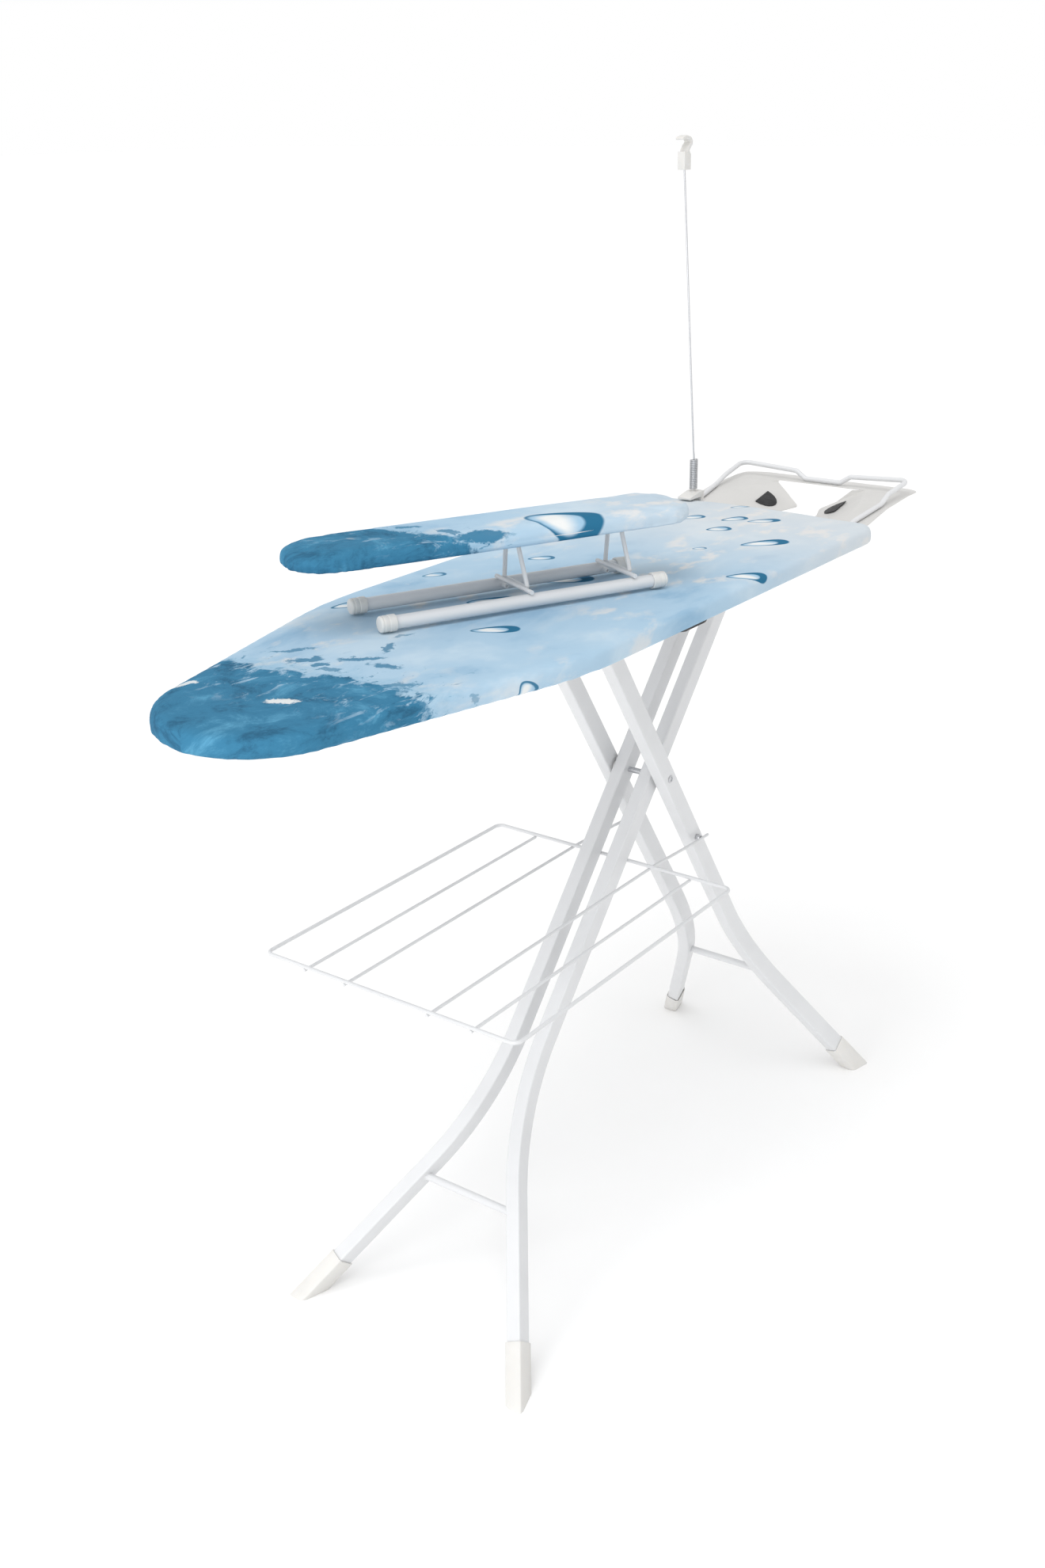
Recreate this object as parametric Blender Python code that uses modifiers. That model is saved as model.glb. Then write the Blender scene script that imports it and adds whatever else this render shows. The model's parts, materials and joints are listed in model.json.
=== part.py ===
"""Folding ironing board with a sprung cord holder and a stand-on sleeve board.

Metres, +Z up.  X runs along the board, from the nose (-X) to the iron rest (+X).
The origin is on the floor, under the middle of the whole object.
"""
import math

import bmesh
import bpy
from mathutils import Matrix, Vector

# ---------------------------------------------------------------- driving dimensions
# board
NOSE_X = -0.700
TAIL_X = 0.436
TAIL_BOW = 0.012            # how far the middle of the tail edge stands out
TAIL_BOW_RADIUS = 1.2
HALF_WIDTH = 0.194
NOSE_RADIUS = 0.111
NOSE_TAPER = 0.272          # sideways growth per metre behind the nose arc
KNEE_RADIUS = 0.45
TAIL_RADIUS = 0.030
COVER_LOW = 0.900
COVER_TOP = 0.926
COVER_SKIN = 0.0012
PAD_Z = (0.9165, 0.9239)
PANEL_Z = (0.9152, 0.9162)
RIM_RADIUS = 0.0050
RIM_Z = 0.9095
RIM_INSET = 0.0070
STRAP_Z = (0.9122, 0.9147)
STRAP_HALF = 0.1765
TOUCH = 0.0003              # gap kept between neighbouring pieces

# leg frames, seen from the side
PIVOT = Vector((0.113, 0.0, 0.614))
INNER_FOOT_X = -0.418
OUTER_FOOT_X = 0.517
HINGE_Z = 0.884
LEG_WIDTH = 0.019
LEG_DEPTH = 0.027
LEG_WALL = 0.0012
LEG_CORNER = 0.0025
LEG_TOP_SPARE = 0.012       # tube beyond the top rod
INNER_HALF_GAP = 0.0216     # centre of an inner tube from the middle plane
OUTER_HALF_GAP = 0.0445
INNER_FOOT_Y = 0.1737
OUTER_FOOT_Y = 0.1738
INNER_FLARE = 0.63          # sideways flare per metre of height
OUTER_FLARE = 0.507
FLARE_BLEND = 0.08          # half height of the bend above the flare
INNER_BAR_Z = 0.151
OUTER_BAR_Z = 0.2013
BAR_RADIUS = 0.0052
ROD_RADIUS = 0.0040
TUBE_END_Z = 0.022
CAP_LENGTH = 0.030
CAP_WALL = 0.0024
PLUG_LENGTH = 0.003
ROD_SIDES = 12
PIVOT_HEAD = (0.0054, 0.0012)       # radius and height of a rod's head
SLIDER_HEAD = (0.0058, 0.0014)
HINGE_HEAD = (0.0065, 0.0018)
SPACER_RADIUS = 0.0085

# height track, hinge bracket and release lever
TRACK_X = (-0.347, -0.042)
TRACK_HALF = 0.0100
TRACK_WALL = 0.0015
TRACK_LOW = 0.8715
SLOT_X = (-0.333, -0.0567)
SLOT_HALF = 0.0075
HINGE_HALF_X = 0.024
LEVER_RADIUS = 0.0025
LEVER_PIVOT = Vector((-0.033, 0.0, 0.8735))
LEVER_START_X = -0.331
LEVER_END = 0.075           # length of the wire inside the grip, from the bend
GRIP_Y = -0.138
GRIP_X = (0.022, 0.078)
GRIP_RADIUS = 0.0070
LEVER_BRACKET_Y = (-0.112, -0.072)

# linen shelf
SHELF_X = (-0.430, 0.0456)
SHELF_HALF = 0.190
SHELF_Z = 0.5115
SHELF_RIM_RADIUS = 0.0025
SHELF_WIRE_RADIUS = 0.0021
SHELF_HANG_X = 0.1876
SHELF_CORNER = 0.010
SHELF_SPARE = 0.0015        # length of the wires beyond the rim
SHELF_WIRE_Y = (0.1267, 0.0633, -0.0633, -0.1267)
SHELF_INNER_WIRES = (1, 2)  # the wires that bend down to the legs
SHELF_RIVET_RADIUS = 0.0028

# iron rest
RAIL_RADIUS = 0.0037
TRAY_SKIN = 0.0014
TRAY_ROOM = (0.84, 0.97)    # heights that clear the whole tray
TRAY_COLUMNS = 10
TRAY_X = (0.4135, 0.690)
TRAY_HALF = 0.151
TRAY_TAIL_HALF = 0.145
TRAY_STATIONS = ((0.405, 0.8880), (0.425, 0.8885), (0.440, 0.8893), (0.454, 0.8942),
                 (0.483, 0.9030), (0.519, 0.9088), (0.555, 0.9142), (0.585, 0.9163),
                 (0.612, 0.9177), (0.633, 0.9186), (0.660, 0.9181), (0.700, 0.9140))
TRAY_CREASE = (0.633, 0.076)    # where the bend of each wing starts at the opening
CREASE_SPREAD = 0.35
CREASE_LIMIT = 0.105
WING_SLOPE = 0.40
PAD_CENTRE = (0.570, 0.0665)
PAD_SIZE = (0.0195, 0.0246)
PAD_SKIN = 0.0018

# cord holder
FLEX_X = 0.4255
FLEX_Y = 0.104
SPRING_Z = (0.9365, 0.9825)
SPRING_RADIUS = 0.0053
SPRING_WIRE = 0.00085
SPRING_TURNS = 22
FLEX_PIVOT_Z = 0.960
FLEX_TOP = Vector((0.4255, 0.131, 1.394))
FLEX_ROD_RADIUS = 0.0014
CLAMP_HALF = 0.011
CLAMP_SCREW_X = -0.024      # from the spring
CLIP_HALF = 0.006

# sleeve board, in its own frame: x along it from the nose end of the skids, y across
SLEEVE_ORIGIN = Vector((-0.345, 0.078, 0.0))
SLEEVE_ANGLE = math.radians(-25.6)
SKID_LENGTH = 0.376
SKID_HALF_GAP = 0.042
SKID_RADIUS = 0.0078
SKID_CAP_RADIUS = 0.0098
SKID_Z = COVER_TOP + TOUCH + SKID_CAP_RADIUS
PEG_OFFSET = 0.0065         # pegs beside the brackets
PEG_RADIUS = 0.0030
PEG_LENGTH = 0.008
BRACKET_X = (0.190, 0.330)
BRACKET_RADIUS = 0.0027
CROSS_ROD_Y = (-0.049, 0.040)
HOOP_OFFSET = 0.0050        # the foot of each hoop lies beside its cross rod
HOOP_LOW_HALF = 0.029
HOOP_TOP_HALF = 0.013
BRACKET_LOW_Z = SKID_Z + SKID_RADIUS + BRACKET_RADIUS + TOUCH
BRACKET_TOP_Z = 1.0030
SLEEVE_X = (-0.091, 0.423)
SLEEVE_HALF = 0.055
SLEEVE_LOW = 1.0015
SLEEVE_TOP = 1.0265

WHITE_PAINT = (0.86, 0.87, 0.88)
STEEL = (0.62, 0.63, 0.65)
UPRIGHT = Matrix.Rotation(math.radians(90.0), 4, "X")   # stands a flat outline up on its edge


# ---------------------------------------------------------------- scene and materials
def clear_scene():
    for old in list(bpy.data.objects):
        bpy.data.objects.remove(old, do_unlink=True)


def new_collection(name):
    group = bpy.data.collections.new(name)
    bpy.context.scene.collection.children.link(group)
    return group


def material(name, colour, roughness, metallic=0.0):
    made = bpy.data.materials.new(name)
    made.use_nodes = True
    shader = made.node_tree.nodes["Principled BSDF"]
    shader.inputs["Base Color"].default_value = (*colour, 1.0)
    shader.inputs["Roughness"].default_value = roughness
    shader.inputs["Metallic"].default_value = metallic
    return made


clear_scene()
PARTS = new_collection("ironing_board")
CUTTERS = new_collection("cutters")
PAINT = material("white_paint", WHITE_PAINT, 0.35)
PLAIN_STEEL = material("bright_steel", STEEL, 0.25, 1.0)
WHITE_PLASTIC = material("white_plastic", (0.84, 0.83, 0.80), 0.45)
BLACK_RUBBER = material("black_silicone", (0.02, 0.02, 0.02), 0.6)
COTTON = material("blue_cotton", (0.45, 0.66, 0.85), 0.9)
FOAM = material("foam", (0.85, 0.83, 0.76), 0.95)


# ---------------------------------------------------------------- general helpers
def keep(piece, look=None, group=None):
    (group or PARTS).objects.link(piece)
    if look:
        piece.data.materials.append(look)
    return piece


def as_cutter(piece):
    for group in list(piece.users_collection):
        group.objects.unlink(piece)
    CUTTERS.objects.link(piece)
    piece.hide_render = True
    piece.display_type = "WIRE"
    return piece


def smooth(piece, angle=40.0):
    piece.data.shade_smooth()
    piece.data.set_sharp_from_angle(angle=math.radians(angle))
    return piece


def fillet(points, radii, step_degrees=15.0, closed=True):
    """The path through the points, with each corner rounded to its radius."""
    path = []
    count = len(points)
    for index, point in enumerate(points):
        radius = radii[index]
        at_end = not closed and index in (0, count - 1)
        if at_end or radius <= 0.0:
            path.append(Vector(point))
            continue
        corner = Vector(point)
        back = (Vector(points[index - 1]) - corner).normalized()
        ahead = (Vector(points[(index + 1) % count]) - corner).normalized()
        opening = back.angle(ahead)
        turn = math.pi - opening
        reach = radius * math.tan(turn / 2.0)
        centre = corner + (back + ahead).normalized() * radius / math.sin(opening / 2.0)
        start = corner + back * reach - centre
        end = corner + ahead * reach - centre
        steps = max(2, math.ceil(math.degrees(turn) / step_degrees))
        for step in range(steps + 1):
            share = step / steps
            blend = start * math.sin((1.0 - share) * turn) + end * math.sin(share * turn)
            path.append(centre + blend / math.sin(turn))
    return path


def poly_curve(name, loops, closed, dimensions="3D"):
    data = bpy.data.curves.new(name, "CURVE")
    data.dimensions = dimensions
    for loop in loops:
        spline = data.splines.new("POLY")
        spline.points.add(len(loop) - 1)
        for target, point in zip(spline.points, loop):
            target.co = (*Vector(point).to_3d(), 1.0)
        spline.use_cyclic_u = closed
    return data


def mesh_from_curve(curve):
    """Turns a curve object that is already in the scene into a welded mesh object."""
    bpy.context.view_layer.update()
    graph = bpy.context.evaluated_depsgraph_get()
    mesh = bpy.data.meshes.new_from_object(curve.evaluated_get(graph))
    work = bmesh.new()
    work.from_mesh(mesh)
    bmesh.ops.remove_doubles(work, verts=work.verts, dist=0.00001)
    bmesh.ops.recalc_face_normals(work, faces=work.faces)
    work.to_mesh(mesh)
    work.free()
    made = bpy.data.objects.new(curve.name + "_mesh", mesh)
    made.matrix_world = curve.matrix_world
    name = curve.name
    bpy.data.objects.remove(curve, do_unlink=True)
    made.name = name
    return keep(made)


def plate(name, loops, low, high, look):
    """A flat outline, with any further loops as holes, between two heights."""
    data = poly_curve(name, loops, True, "2D")
    data.fill_mode = "BOTH"
    data.extrude = (high - low) / 2.0
    made = keep(bpy.data.objects.new(name, data), look)
    made.location.z = (low + high) / 2.0
    return made


def wire(name, path, radius, look, closed=False, sides=8):
    data = poly_curve(name, [path], closed)
    data.bevel_depth = radius
    data.bevel_resolution = max(0, sides // 2 - 2)
    data.use_fill_caps = not closed
    return keep(bpy.data.objects.new(name, data), look)


def turned(name, profile, place, look, steps=16):
    """A profile of (radius, height) pairs, outer side downwards, turned about local Z."""
    mesh = bpy.data.meshes.new(name)
    edges = [(i, i + 1) for i in range(len(profile) - 1)]
    if profile[0][0] > 0.0:
        edges.append((len(profile) - 1, 0))
    mesh.from_pydata([(r, 0.0, z) for r, z in profile], edges, [])
    made = keep(bpy.data.objects.new(name, mesh), look)
    made.matrix_world = place
    spin = made.modifiers.new("turn", "SCREW")
    spin.axis = "Z"
    spin.steps = steps
    spin.render_steps = steps
    spin.use_merge_vertices = True
    spin.merge_threshold = 0.00002
    return made


def facing(point, direction, roll=Vector((0.0, 0.0, 1.0))):
    """A frame at a point whose Z runs along a direction."""
    z = Vector(direction).normalized()
    side = roll if abs(z.dot(roll)) < 0.95 else Vector((1.0, 0.0, 0.0))
    x = side.cross(z).normalized()
    y = z.cross(x)
    turn = Matrix((x, y, z)).transposed().to_4x4()
    return Matrix.Translation(point) @ turn


def round_bar(name, start, end, radius, look, sides=12):
    start = Vector(start)
    end = Vector(end)
    length = (end - start).length
    mesh = bpy.data.meshes.new(name)
    work = bmesh.new()
    bmesh.ops.create_cone(work, cap_ends=True, segments=sides, radius1=radius,
                          radius2=radius, depth=length)
    work.to_mesh(mesh)
    work.free()
    made = keep(bpy.data.objects.new(name, mesh), look)
    made.matrix_world = facing((start + end) / 2.0, end - start)
    return smooth(made)


def box(name, low, high, look, place=Matrix.Identity(4)):
    low = Vector(low)
    high = Vector(high)
    mesh = bpy.data.meshes.new(name)
    work = bmesh.new()
    bmesh.ops.create_cube(work, size=1.0)
    bmesh.ops.scale(work, vec=high - low, verts=work.verts)
    bmesh.ops.translate(work, vec=(low + high) / 2.0, verts=work.verts)
    work.to_mesh(mesh)
    work.free()
    made = keep(bpy.data.objects.new(name, mesh), look)
    made.matrix_world = place
    return made


def boolean(target, tool, operation="DIFFERENCE"):
    as_cutter(tool)
    step = target.modifiers.new(operation.lower(), "BOOLEAN")
    step.operation = operation
    step.object = tool
    return target


def drill(target, start, end, radius, sides=12):
    name = f"drill_{target.name}_{len(target.modifiers)}"
    return boolean(target, round_bar(name, start, end, radius, None, sides))


def body(name, point):
    """An empty on the joint's axis that carries the pieces of one moving body."""
    made = bpy.data.objects.new(name, None)
    PARTS.objects.link(made)
    made.location = point
    bpy.context.view_layer.update()
    return made


def carry(parent, *names):
    bpy.context.view_layer.update()
    for name in names:
        piece = bpy.data.objects[name]
        piece.parent = parent
        piece.matrix_parent_inverse = parent.matrix_world.inverted()


# ---------------------------------------------------------------- the board itself
def board_loop(inset, step_degrees=15.0):
    """The board's outline, moved inwards by the inset."""
    taper = math.atan(NOSE_TAPER)
    apex_x = NOSE_X + NOSE_RADIUS - (NOSE_RADIUS - inset) / math.sin(taper)
    half = HALF_WIDTH - inset
    knee_x = apex_x + half / NOSE_TAPER
    tail_x = TAIL_X - inset
    corners = [(apex_x, 0.0), (knee_x, -half), (tail_x - TAIL_BOW, -half), (tail_x, 0.0),
               (tail_x - TAIL_BOW, half), (knee_x, half)]
    corner = TAIL_RADIUS - inset
    radii = [NOSE_RADIUS - inset, KNEE_RADIUS, corner, TAIL_BOW_RADIUS, corner, KNEE_RADIUS]
    return fillet(corners, radii, step_degrees)


def board_half_width(x, inset):
    taper = math.atan(NOSE_TAPER)
    apex_x = NOSE_X + NOSE_RADIUS - (NOSE_RADIUS - inset) / math.sin(taper)
    return min(HALF_WIDTH - inset, (x - apex_x) * NOSE_TAPER)


def round_hole(x, y, radius, sides=8):
    return [(x + radius * math.cos(math.tau * i / sides), y + radius * math.sin(math.tau * i / sides))
            for i in range(sides)]


def soft_shell(name, outer, inner, low, inner_top, top, look):
    """A closed skin with a flat top and side skirts, open below."""
    shell = mesh_from_curve(plate(name, [outer], low, top, look))
    room = mesh_from_curve(plate(name + "_room", [inner], low - 0.01, inner_top, None))
    return boolean(shell, room)


def make_board():
    vents = []
    for column in range(9):
        x = NOSE_X + 0.145 + 0.112 * column
        reach = board_half_width(x, 0.0) - 0.045
        rows = 2 if reach > 0.09 else 1
        for row in range(-rows, rows + 1):
            if abs(row) != 0:
                vents.append(round_hole(x, row * reach / rows * 0.96, 0.011))
    plate("board_panel", [board_loop(0.003)] + vents, *PANEL_Z, PAINT)
    plate("foam_pad", [board_loop(0.003)], *PAD_Z, FOAM)
    rim = [(p.x, p.y, RIM_Z) for p in board_loop(RIM_INSET)]
    wire("rim_tube", rim, RIM_RADIUS, PAINT, closed=True)
    soft_shell("board_cover", board_loop(0.0), board_loop(COVER_SKIN), COVER_LOW,
               PAD_Z[1] + TOUCH, COVER_TOP, COTTON)
    low, high = STRAP_Z
    for name, x, half in (("strap_nose", -0.300, 0.150), ("strap_middle", -0.052, STRAP_HALF),
                          ("strap_rear", 0.3465, STRAP_HALF)):
        box(name, (x - 0.0125, -half, low), (x + 0.0125, half, high), PAINT)
    box("strap_tail", (0.372, -STRAP_HALF, 0.9001), (0.394, STRAP_HALF, 0.9026), PAINT)


def channel(name, x_range, low, high, half):
    """A downward-open channel: a web under the straps and two side walls."""
    mesh = bpy.data.meshes.new(name)
    section = [(-half, low), (-half, high), (half, high), (half, low)]
    points = [(x, y, z) for x in x_range for y, z in section]
    faces = [(i, i + 1, i + 5, i + 4) for i in range(3)]
    mesh.from_pydata(points, [], faces)
    made = keep(bpy.data.objects.new(name, mesh), PAINT)
    skin = made.modifiers.new("sheet", "SOLIDIFY")
    skin.thickness = TRACK_WALL
    skin.offset = 1.0
    return made


def slot_loop():
    """The track's slot seen from the side, with the height notches along its top edge."""
    left, right = SLOT_X
    low, high = HINGE_Z - SLOT_HALF, HINGE_Z + SLOT_HALF
    points = [(left, low), (right, low), (right, high)]
    notch = 0.0045
    for index in range(5):
        x = right - 0.0085 - index * 0.047
        points += [(x + notch, high), (x + notch * 0.6, high + notch * 0.6),
                   (x - notch * 0.6, high + notch * 0.6), (x - notch, high)]
    points.append((left, high))
    return points


def make_track():
    track = channel("height_track", TRACK_X, TRACK_LOW, STRAP_Z[0] - TOUCH, TRACK_HALF)
    slot = plate("slot", [slot_loop()], -0.02, 0.02, None)
    slot.matrix_world = UPRIGHT
    boolean(track, mesh_from_curve(slot))
    middle = hinge_point()
    bracket = channel("hinge_bracket", (middle.x - HINGE_HALF_X, middle.x + HINGE_HALF_X),
                      TRACK_LOW, STRAP_Z[0] - TOUCH, TRACK_HALF)
    across = Vector((0.0, 0.02, 0.0))
    drill(bracket, middle - across, middle + across, ROD_RADIUS + TOUCH)


# ---------------------------------------------------------------- leg frames
def leg_frame(foot_x):
    """The frame of one pair of legs: X down the leg, Y across, Z square to both."""
    down = Vector((foot_x - PIVOT.x, 0.0, -PIVOT.z)).normalized()
    across = Vector((0.0, 1.0, 0.0))
    normal = down.cross(across)
    turn = Matrix((down, across, normal)).transposed().to_4x4()
    return Matrix.Translation(PIVOT) @ turn, down


def along(down, z):
    """Distance down the leg from the pivot to a height above the floor."""
    return (PIVOT.z - z) / -down.z


def hinge_point():
    _, down = leg_frame(INNER_FOOT_X)
    return PIVOT + down * along(down, HINGE_Z)


def slider_point():
    _, down = leg_frame(OUTER_FOOT_X)
    return PIVOT + down * along(down, HINGE_Z)


class Leg:
    """The centre line of one tube, in the frame of its pair of legs."""

    def __init__(self, foot_x, half_gap, foot_y, flare, side):
        self.place, self.down = leg_frame(foot_x)
        self.side = side
        self.half_gap = half_gap
        self.slope = flare * -self.down.z
        knee_z = (foot_y - half_gap) / flare
        self.knee = along(self.down, knee_z)
        blend = FLARE_BLEND / -self.down.z
        self.radius = blend / math.tan(math.atan(self.slope) / 2.0)

    def point(self, distance):
        """A point on the straight flared part."""
        return Vector((distance, self.side * (self.half_gap + (distance - self.knee) * self.slope), 0.0))

    def path(self, start_z, end_z):
        top = along(self.down, start_z) - LEG_TOP_SPARE
        start = Vector((top, self.side * self.half_gap, 0.0))
        corner = Vector((self.knee, self.side * self.half_gap, 0.0))
        end = self.point(along(self.down, end_z))
        return fillet([start, corner, end], [0.0, self.radius, 0.0], 4.0, closed=False)

    def at_height(self, z):
        return self.place @ self.point(along(self.down, z))


def section_guide(name, width, depth, corner):
    """A rounded rectangle that a sweep uses as its section."""
    w, d = width / 2.0, depth / 2.0
    loop = fillet([(-w, -d), (w, -d), (w, d), (-w, d)], [corner] * 4, 45.0)
    guide = bpy.data.objects.new(name, poly_curve(name, [loop], True, "2D"))
    guide.data.fill_mode = "NONE"
    CUTTERS.objects.link(guide)
    guide.hide_render = True
    guide.display_type = "WIRE"
    return guide


def sweep(name, path, guide, place, look, caps):
    data = poly_curve(name, [path], False)
    data.twist_mode = "Z_UP"
    data.bevel_mode = "OBJECT"
    data.bevel_object = guide
    data.use_fill_caps = caps
    made = keep(bpy.data.objects.new(name, data), look)
    made.matrix_world = place
    return mesh_from_curve(made)


def make_leg(name, leg, guide, bar_z, holes):
    tube = sweep(name, leg.path(HINGE_Z, TUBE_END_Z), guide, leg.place, PAINT, False)
    wall = tube.modifiers.new("wall", "SOLIDIFY")
    wall.thickness = LEG_WALL
    wall.offset = -1.0
    across = Vector((0.0, 0.03, 0.0))
    for hole in holes:
        middle = Vector((hole.x, leg.side * leg.half_gap, hole.z))
        drill(tube, middle - across, middle + across, ROD_RADIUS + TOUCH)
    bar = leg.at_height(bar_z)
    drill(tube, Vector((bar.x, 0.0, bar.z)), bar, BAR_RADIUS + TOUCH)
    return smooth(tube)


def make_foot(name, leg, outer_guide, inner_guide):
    """A plastic cap over the tube's end, cut flat where it stands on the floor."""
    tube_end = along(leg.down, TUBE_END_Z)
    ground = along(leg.down, 0.0)
    cap = sweep(name, [leg.point(tube_end - CAP_LENGTH), leg.point(ground + 0.03)], outer_guide,
                leg.place, WHITE_PLASTIC, True)
    socket = sweep(name + "_socket", [leg.point(tube_end - CAP_LENGTH - 0.01), leg.point(tube_end + TOUCH)],
                   inner_guide, leg.place, None, True)
    boolean(cap, socket)
    foot = leg.at_height(0.0)
    reach = Vector((0.08, 0.08, 0.0))
    floor = box(name + "_floor", foot - reach + Vector((0.0, 0.0, -0.08)), foot + reach, None)
    boolean(cap, floor)
    return smooth(cap)


def rod_with_heads(name, middle, half, size):
    """A rod across the object with a low domed head on each end."""
    radius = ROD_RADIUS
    head_radius, head = size
    profile = [(0.0, half + head), (head_radius * 0.6, half + head), (head_radius, half + head * 0.3),
               (head_radius, half), (radius, half), (radius, -half), (head_radius, -half),
               (head_radius, -half - head * 0.3), (head_radius * 0.6, -half - head), (0.0, -half - head)]
    return smooth(turned(name, profile, facing(middle, (0.0, 1.0, 0.0)), PLAIN_STEEL, ROD_SIDES))


def make_legs():
    tube = section_guide("tube_section", LEG_WIDTH, LEG_DEPTH, LEG_CORNER)
    cap_outer = section_guide("cap_section", LEG_WIDTH + 2 * CAP_WALL, LEG_DEPTH + 2 * CAP_WALL,
                              LEG_CORNER + CAP_WALL)
    cap_inner = section_guide("socket_section", LEG_WIDTH + 2 * TOUCH, LEG_DEPTH + 2 * TOUCH,
                              LEG_CORNER + TOUCH)
    plug = section_guide("plug_section", LEG_WIDTH - 0.0006, LEG_DEPTH - 0.0006, LEG_CORNER - 0.0003)
    hinge, slider = hinge_point(), slider_point()
    hang = Vector((SHELF_HANG_X, 0.0, hang_z()))
    frames = (("inner", INNER_FOOT_X, INNER_HALF_GAP, INNER_FOOT_Y, INNER_FLARE, INNER_BAR_Z,
               [PIVOT, hinge]),
              ("outer", OUTER_FOOT_X, OUTER_HALF_GAP, OUTER_FOOT_Y, OUTER_FLARE, OUTER_BAR_Z,
               [PIVOT, slider, hang]))
    for kind, foot_x, gap, foot_y, flare, bar_z, holes in frames:
        for end, side in (("far", 1.0), ("near", -1.0)):
            leg = Leg(foot_x, gap, foot_y, flare, side)
            make_leg(f"{kind}_leg_{end}", leg, tube, bar_z, holes)
            make_foot(f"{kind}_foot_{end}", leg, cap_outer, cap_inner)
            top = along(leg.down, HINGE_Z) - LEG_TOP_SPARE - TOUCH
            ends = [Vector((top - PLUG_LENGTH, side * gap, 0.0)), Vector((top, side * gap, 0.0))]
            smooth(sweep(f"{kind}_plug_{end}", ends, plug, leg.place, WHITE_PLASTIC, True))
        bar = leg.at_height(bar_z)
        reach = abs(bar.y) - 0.006
        round_bar(f"{kind}_crossbar", (bar.x, -reach, bar.z), (bar.x, reach, bar.z), BAR_RADIUS, PAINT)
    face = OUTER_HALF_GAP + LEG_WIDTH / 2.0 + TOUCH
    inner_face = INNER_HALF_GAP + LEG_WIDTH / 2.0 + TOUCH
    rod_with_heads("pivot_rod", PIVOT, face, PIVOT_HEAD)
    rod_with_heads("slider_rod", slider, face, SLIDER_HEAD)
    rod_with_heads("inner_hinge_rod", hinge, inner_face, HINGE_HEAD)
    outer_face = OUTER_HALF_GAP - LEG_WIDTH / 2.0 - TOUCH
    for end, side in (("far", 1.0), ("near", -1.0)):
        ring = [(SPACER_RADIUS, outer_face), (SPACER_RADIUS, inner_face), (ROD_RADIUS + TOUCH, inner_face),
                (ROD_RADIUS + TOUCH, outer_face)]
        place = facing(PIVOT, (0.0, side, 0.0))
        smooth(turned(f"pivot_spacer_{end}", ring, place, WHITE_PLASTIC, 16))


# ---------------------------------------------------------------- release lever
def make_lever():
    x, _, z = LEVER_PIVOT
    bend = 0.008
    path = [(LEVER_START_X, 0.0, z), (x, 0.0, z), (x, GRIP_Y, z), (x + LEVER_END, GRIP_Y, z)]
    wire("release_lever", fillet(path, [0.0, bend, bend, 0.0], 30.0, closed=False), LEVER_RADIUS,
         PLAIN_STEEL)
    start, end = GRIP_X
    hole = LEVER_RADIUS + TOUCH
    neck = GRIP_RADIUS - 0.0015
    bottom = LEVER_END + TOUCH
    grip = [(0.0, end + 0.003), (neck, end + 0.001), (GRIP_RADIUS, end - 0.004),
            (GRIP_RADIUS, start + 0.010), (neck, start), (hole, start), (hole, bottom), (0.0, bottom)]
    place = facing((x, GRIP_Y, z), (1.0, 0.0, 0.0))
    smooth(turned("release_grip", grip, place, BLACK_RUBBER, ROD_SIDES))
    near, far = LEVER_BRACKET_Y
    top = STRAP_Z[0] - TOUCH
    bracket = box("lever_bracket", (x - 0.009, near, z - 0.006), (x + 0.005, far, top), PAINT)
    boolean(bracket, box("lever_bracket_room", (x - 0.02, near + TRACK_WALL, z - 0.02),
                         (x + 0.02, far - TRACK_WALL, top - TRACK_WALL), None))
    drill(bracket, (x, near - 0.01, z), (x, far + 0.01, z), LEVER_RADIUS + TOUCH, 8)


# ---------------------------------------------------------------- linen shelf
def hang_z():
    _, down = leg_frame(OUTER_FOOT_X)
    return PIVOT.z + (SHELF_HANG_X - PIVOT.x) / down.x * down.z


def make_shelf():
    left, right = SHELF_X
    ring = [(left, -SHELF_HALF, SHELF_Z), (right, -SHELF_HALF, SHELF_Z), (right, SHELF_HALF, SHELF_Z),
            (left, SHELF_HALF, SHELF_Z)]
    wire("shelf_rim", fillet(ring, [SHELF_CORNER] * 4, 30.0), SHELF_RIM_RADIUS, PAINT, closed=True)
    low = SHELF_Z - SHELF_RIM_RADIUS - SHELF_WIRE_RADIUS - TOUCH * 2.0 / 3.0
    hang = hang_z()
    for index, y in enumerate(SHELF_WIRE_Y):
        name = f"shelf_wire_{index + 1}"
        path = [(left - SHELF_SPARE, y, low), (right + SHELF_SPARE, y, low)]
        if index in SHELF_INNER_WIRES:
            path[1] = (right + 0.020, y, low)
            path += [(SHELF_HANG_X - 0.012, y, hang), (SHELF_HANG_X + 0.016, y, hang)]
        wire(name, path, SHELF_WIRE_RADIUS, PAINT)
    inner = OUTER_HALF_GAP + LEG_WIDTH / 2.0 + TOUCH
    outer = SHELF_WIRE_Y[1] - SHELF_WIRE_RADIUS - TOUCH
    shank = inner - LEG_WIDTH
    shaft = SHELF_RIVET_RADIUS
    for end, side in (("far", 1.0), ("near", -1.0)):
        rivet = [(0.0, outer), (shaft + 0.0010, outer), (shaft + 0.0014, inner), (shaft, inner),
                 (shaft, shank), (0.0, shank)]
        place = facing((SHELF_HANG_X, 0.0, hang), (0.0, side, 0.0))
        smooth(turned(f"shelf_rivet_{end}", rivet, place, PLAIN_STEEL, ROD_SIDES))


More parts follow.
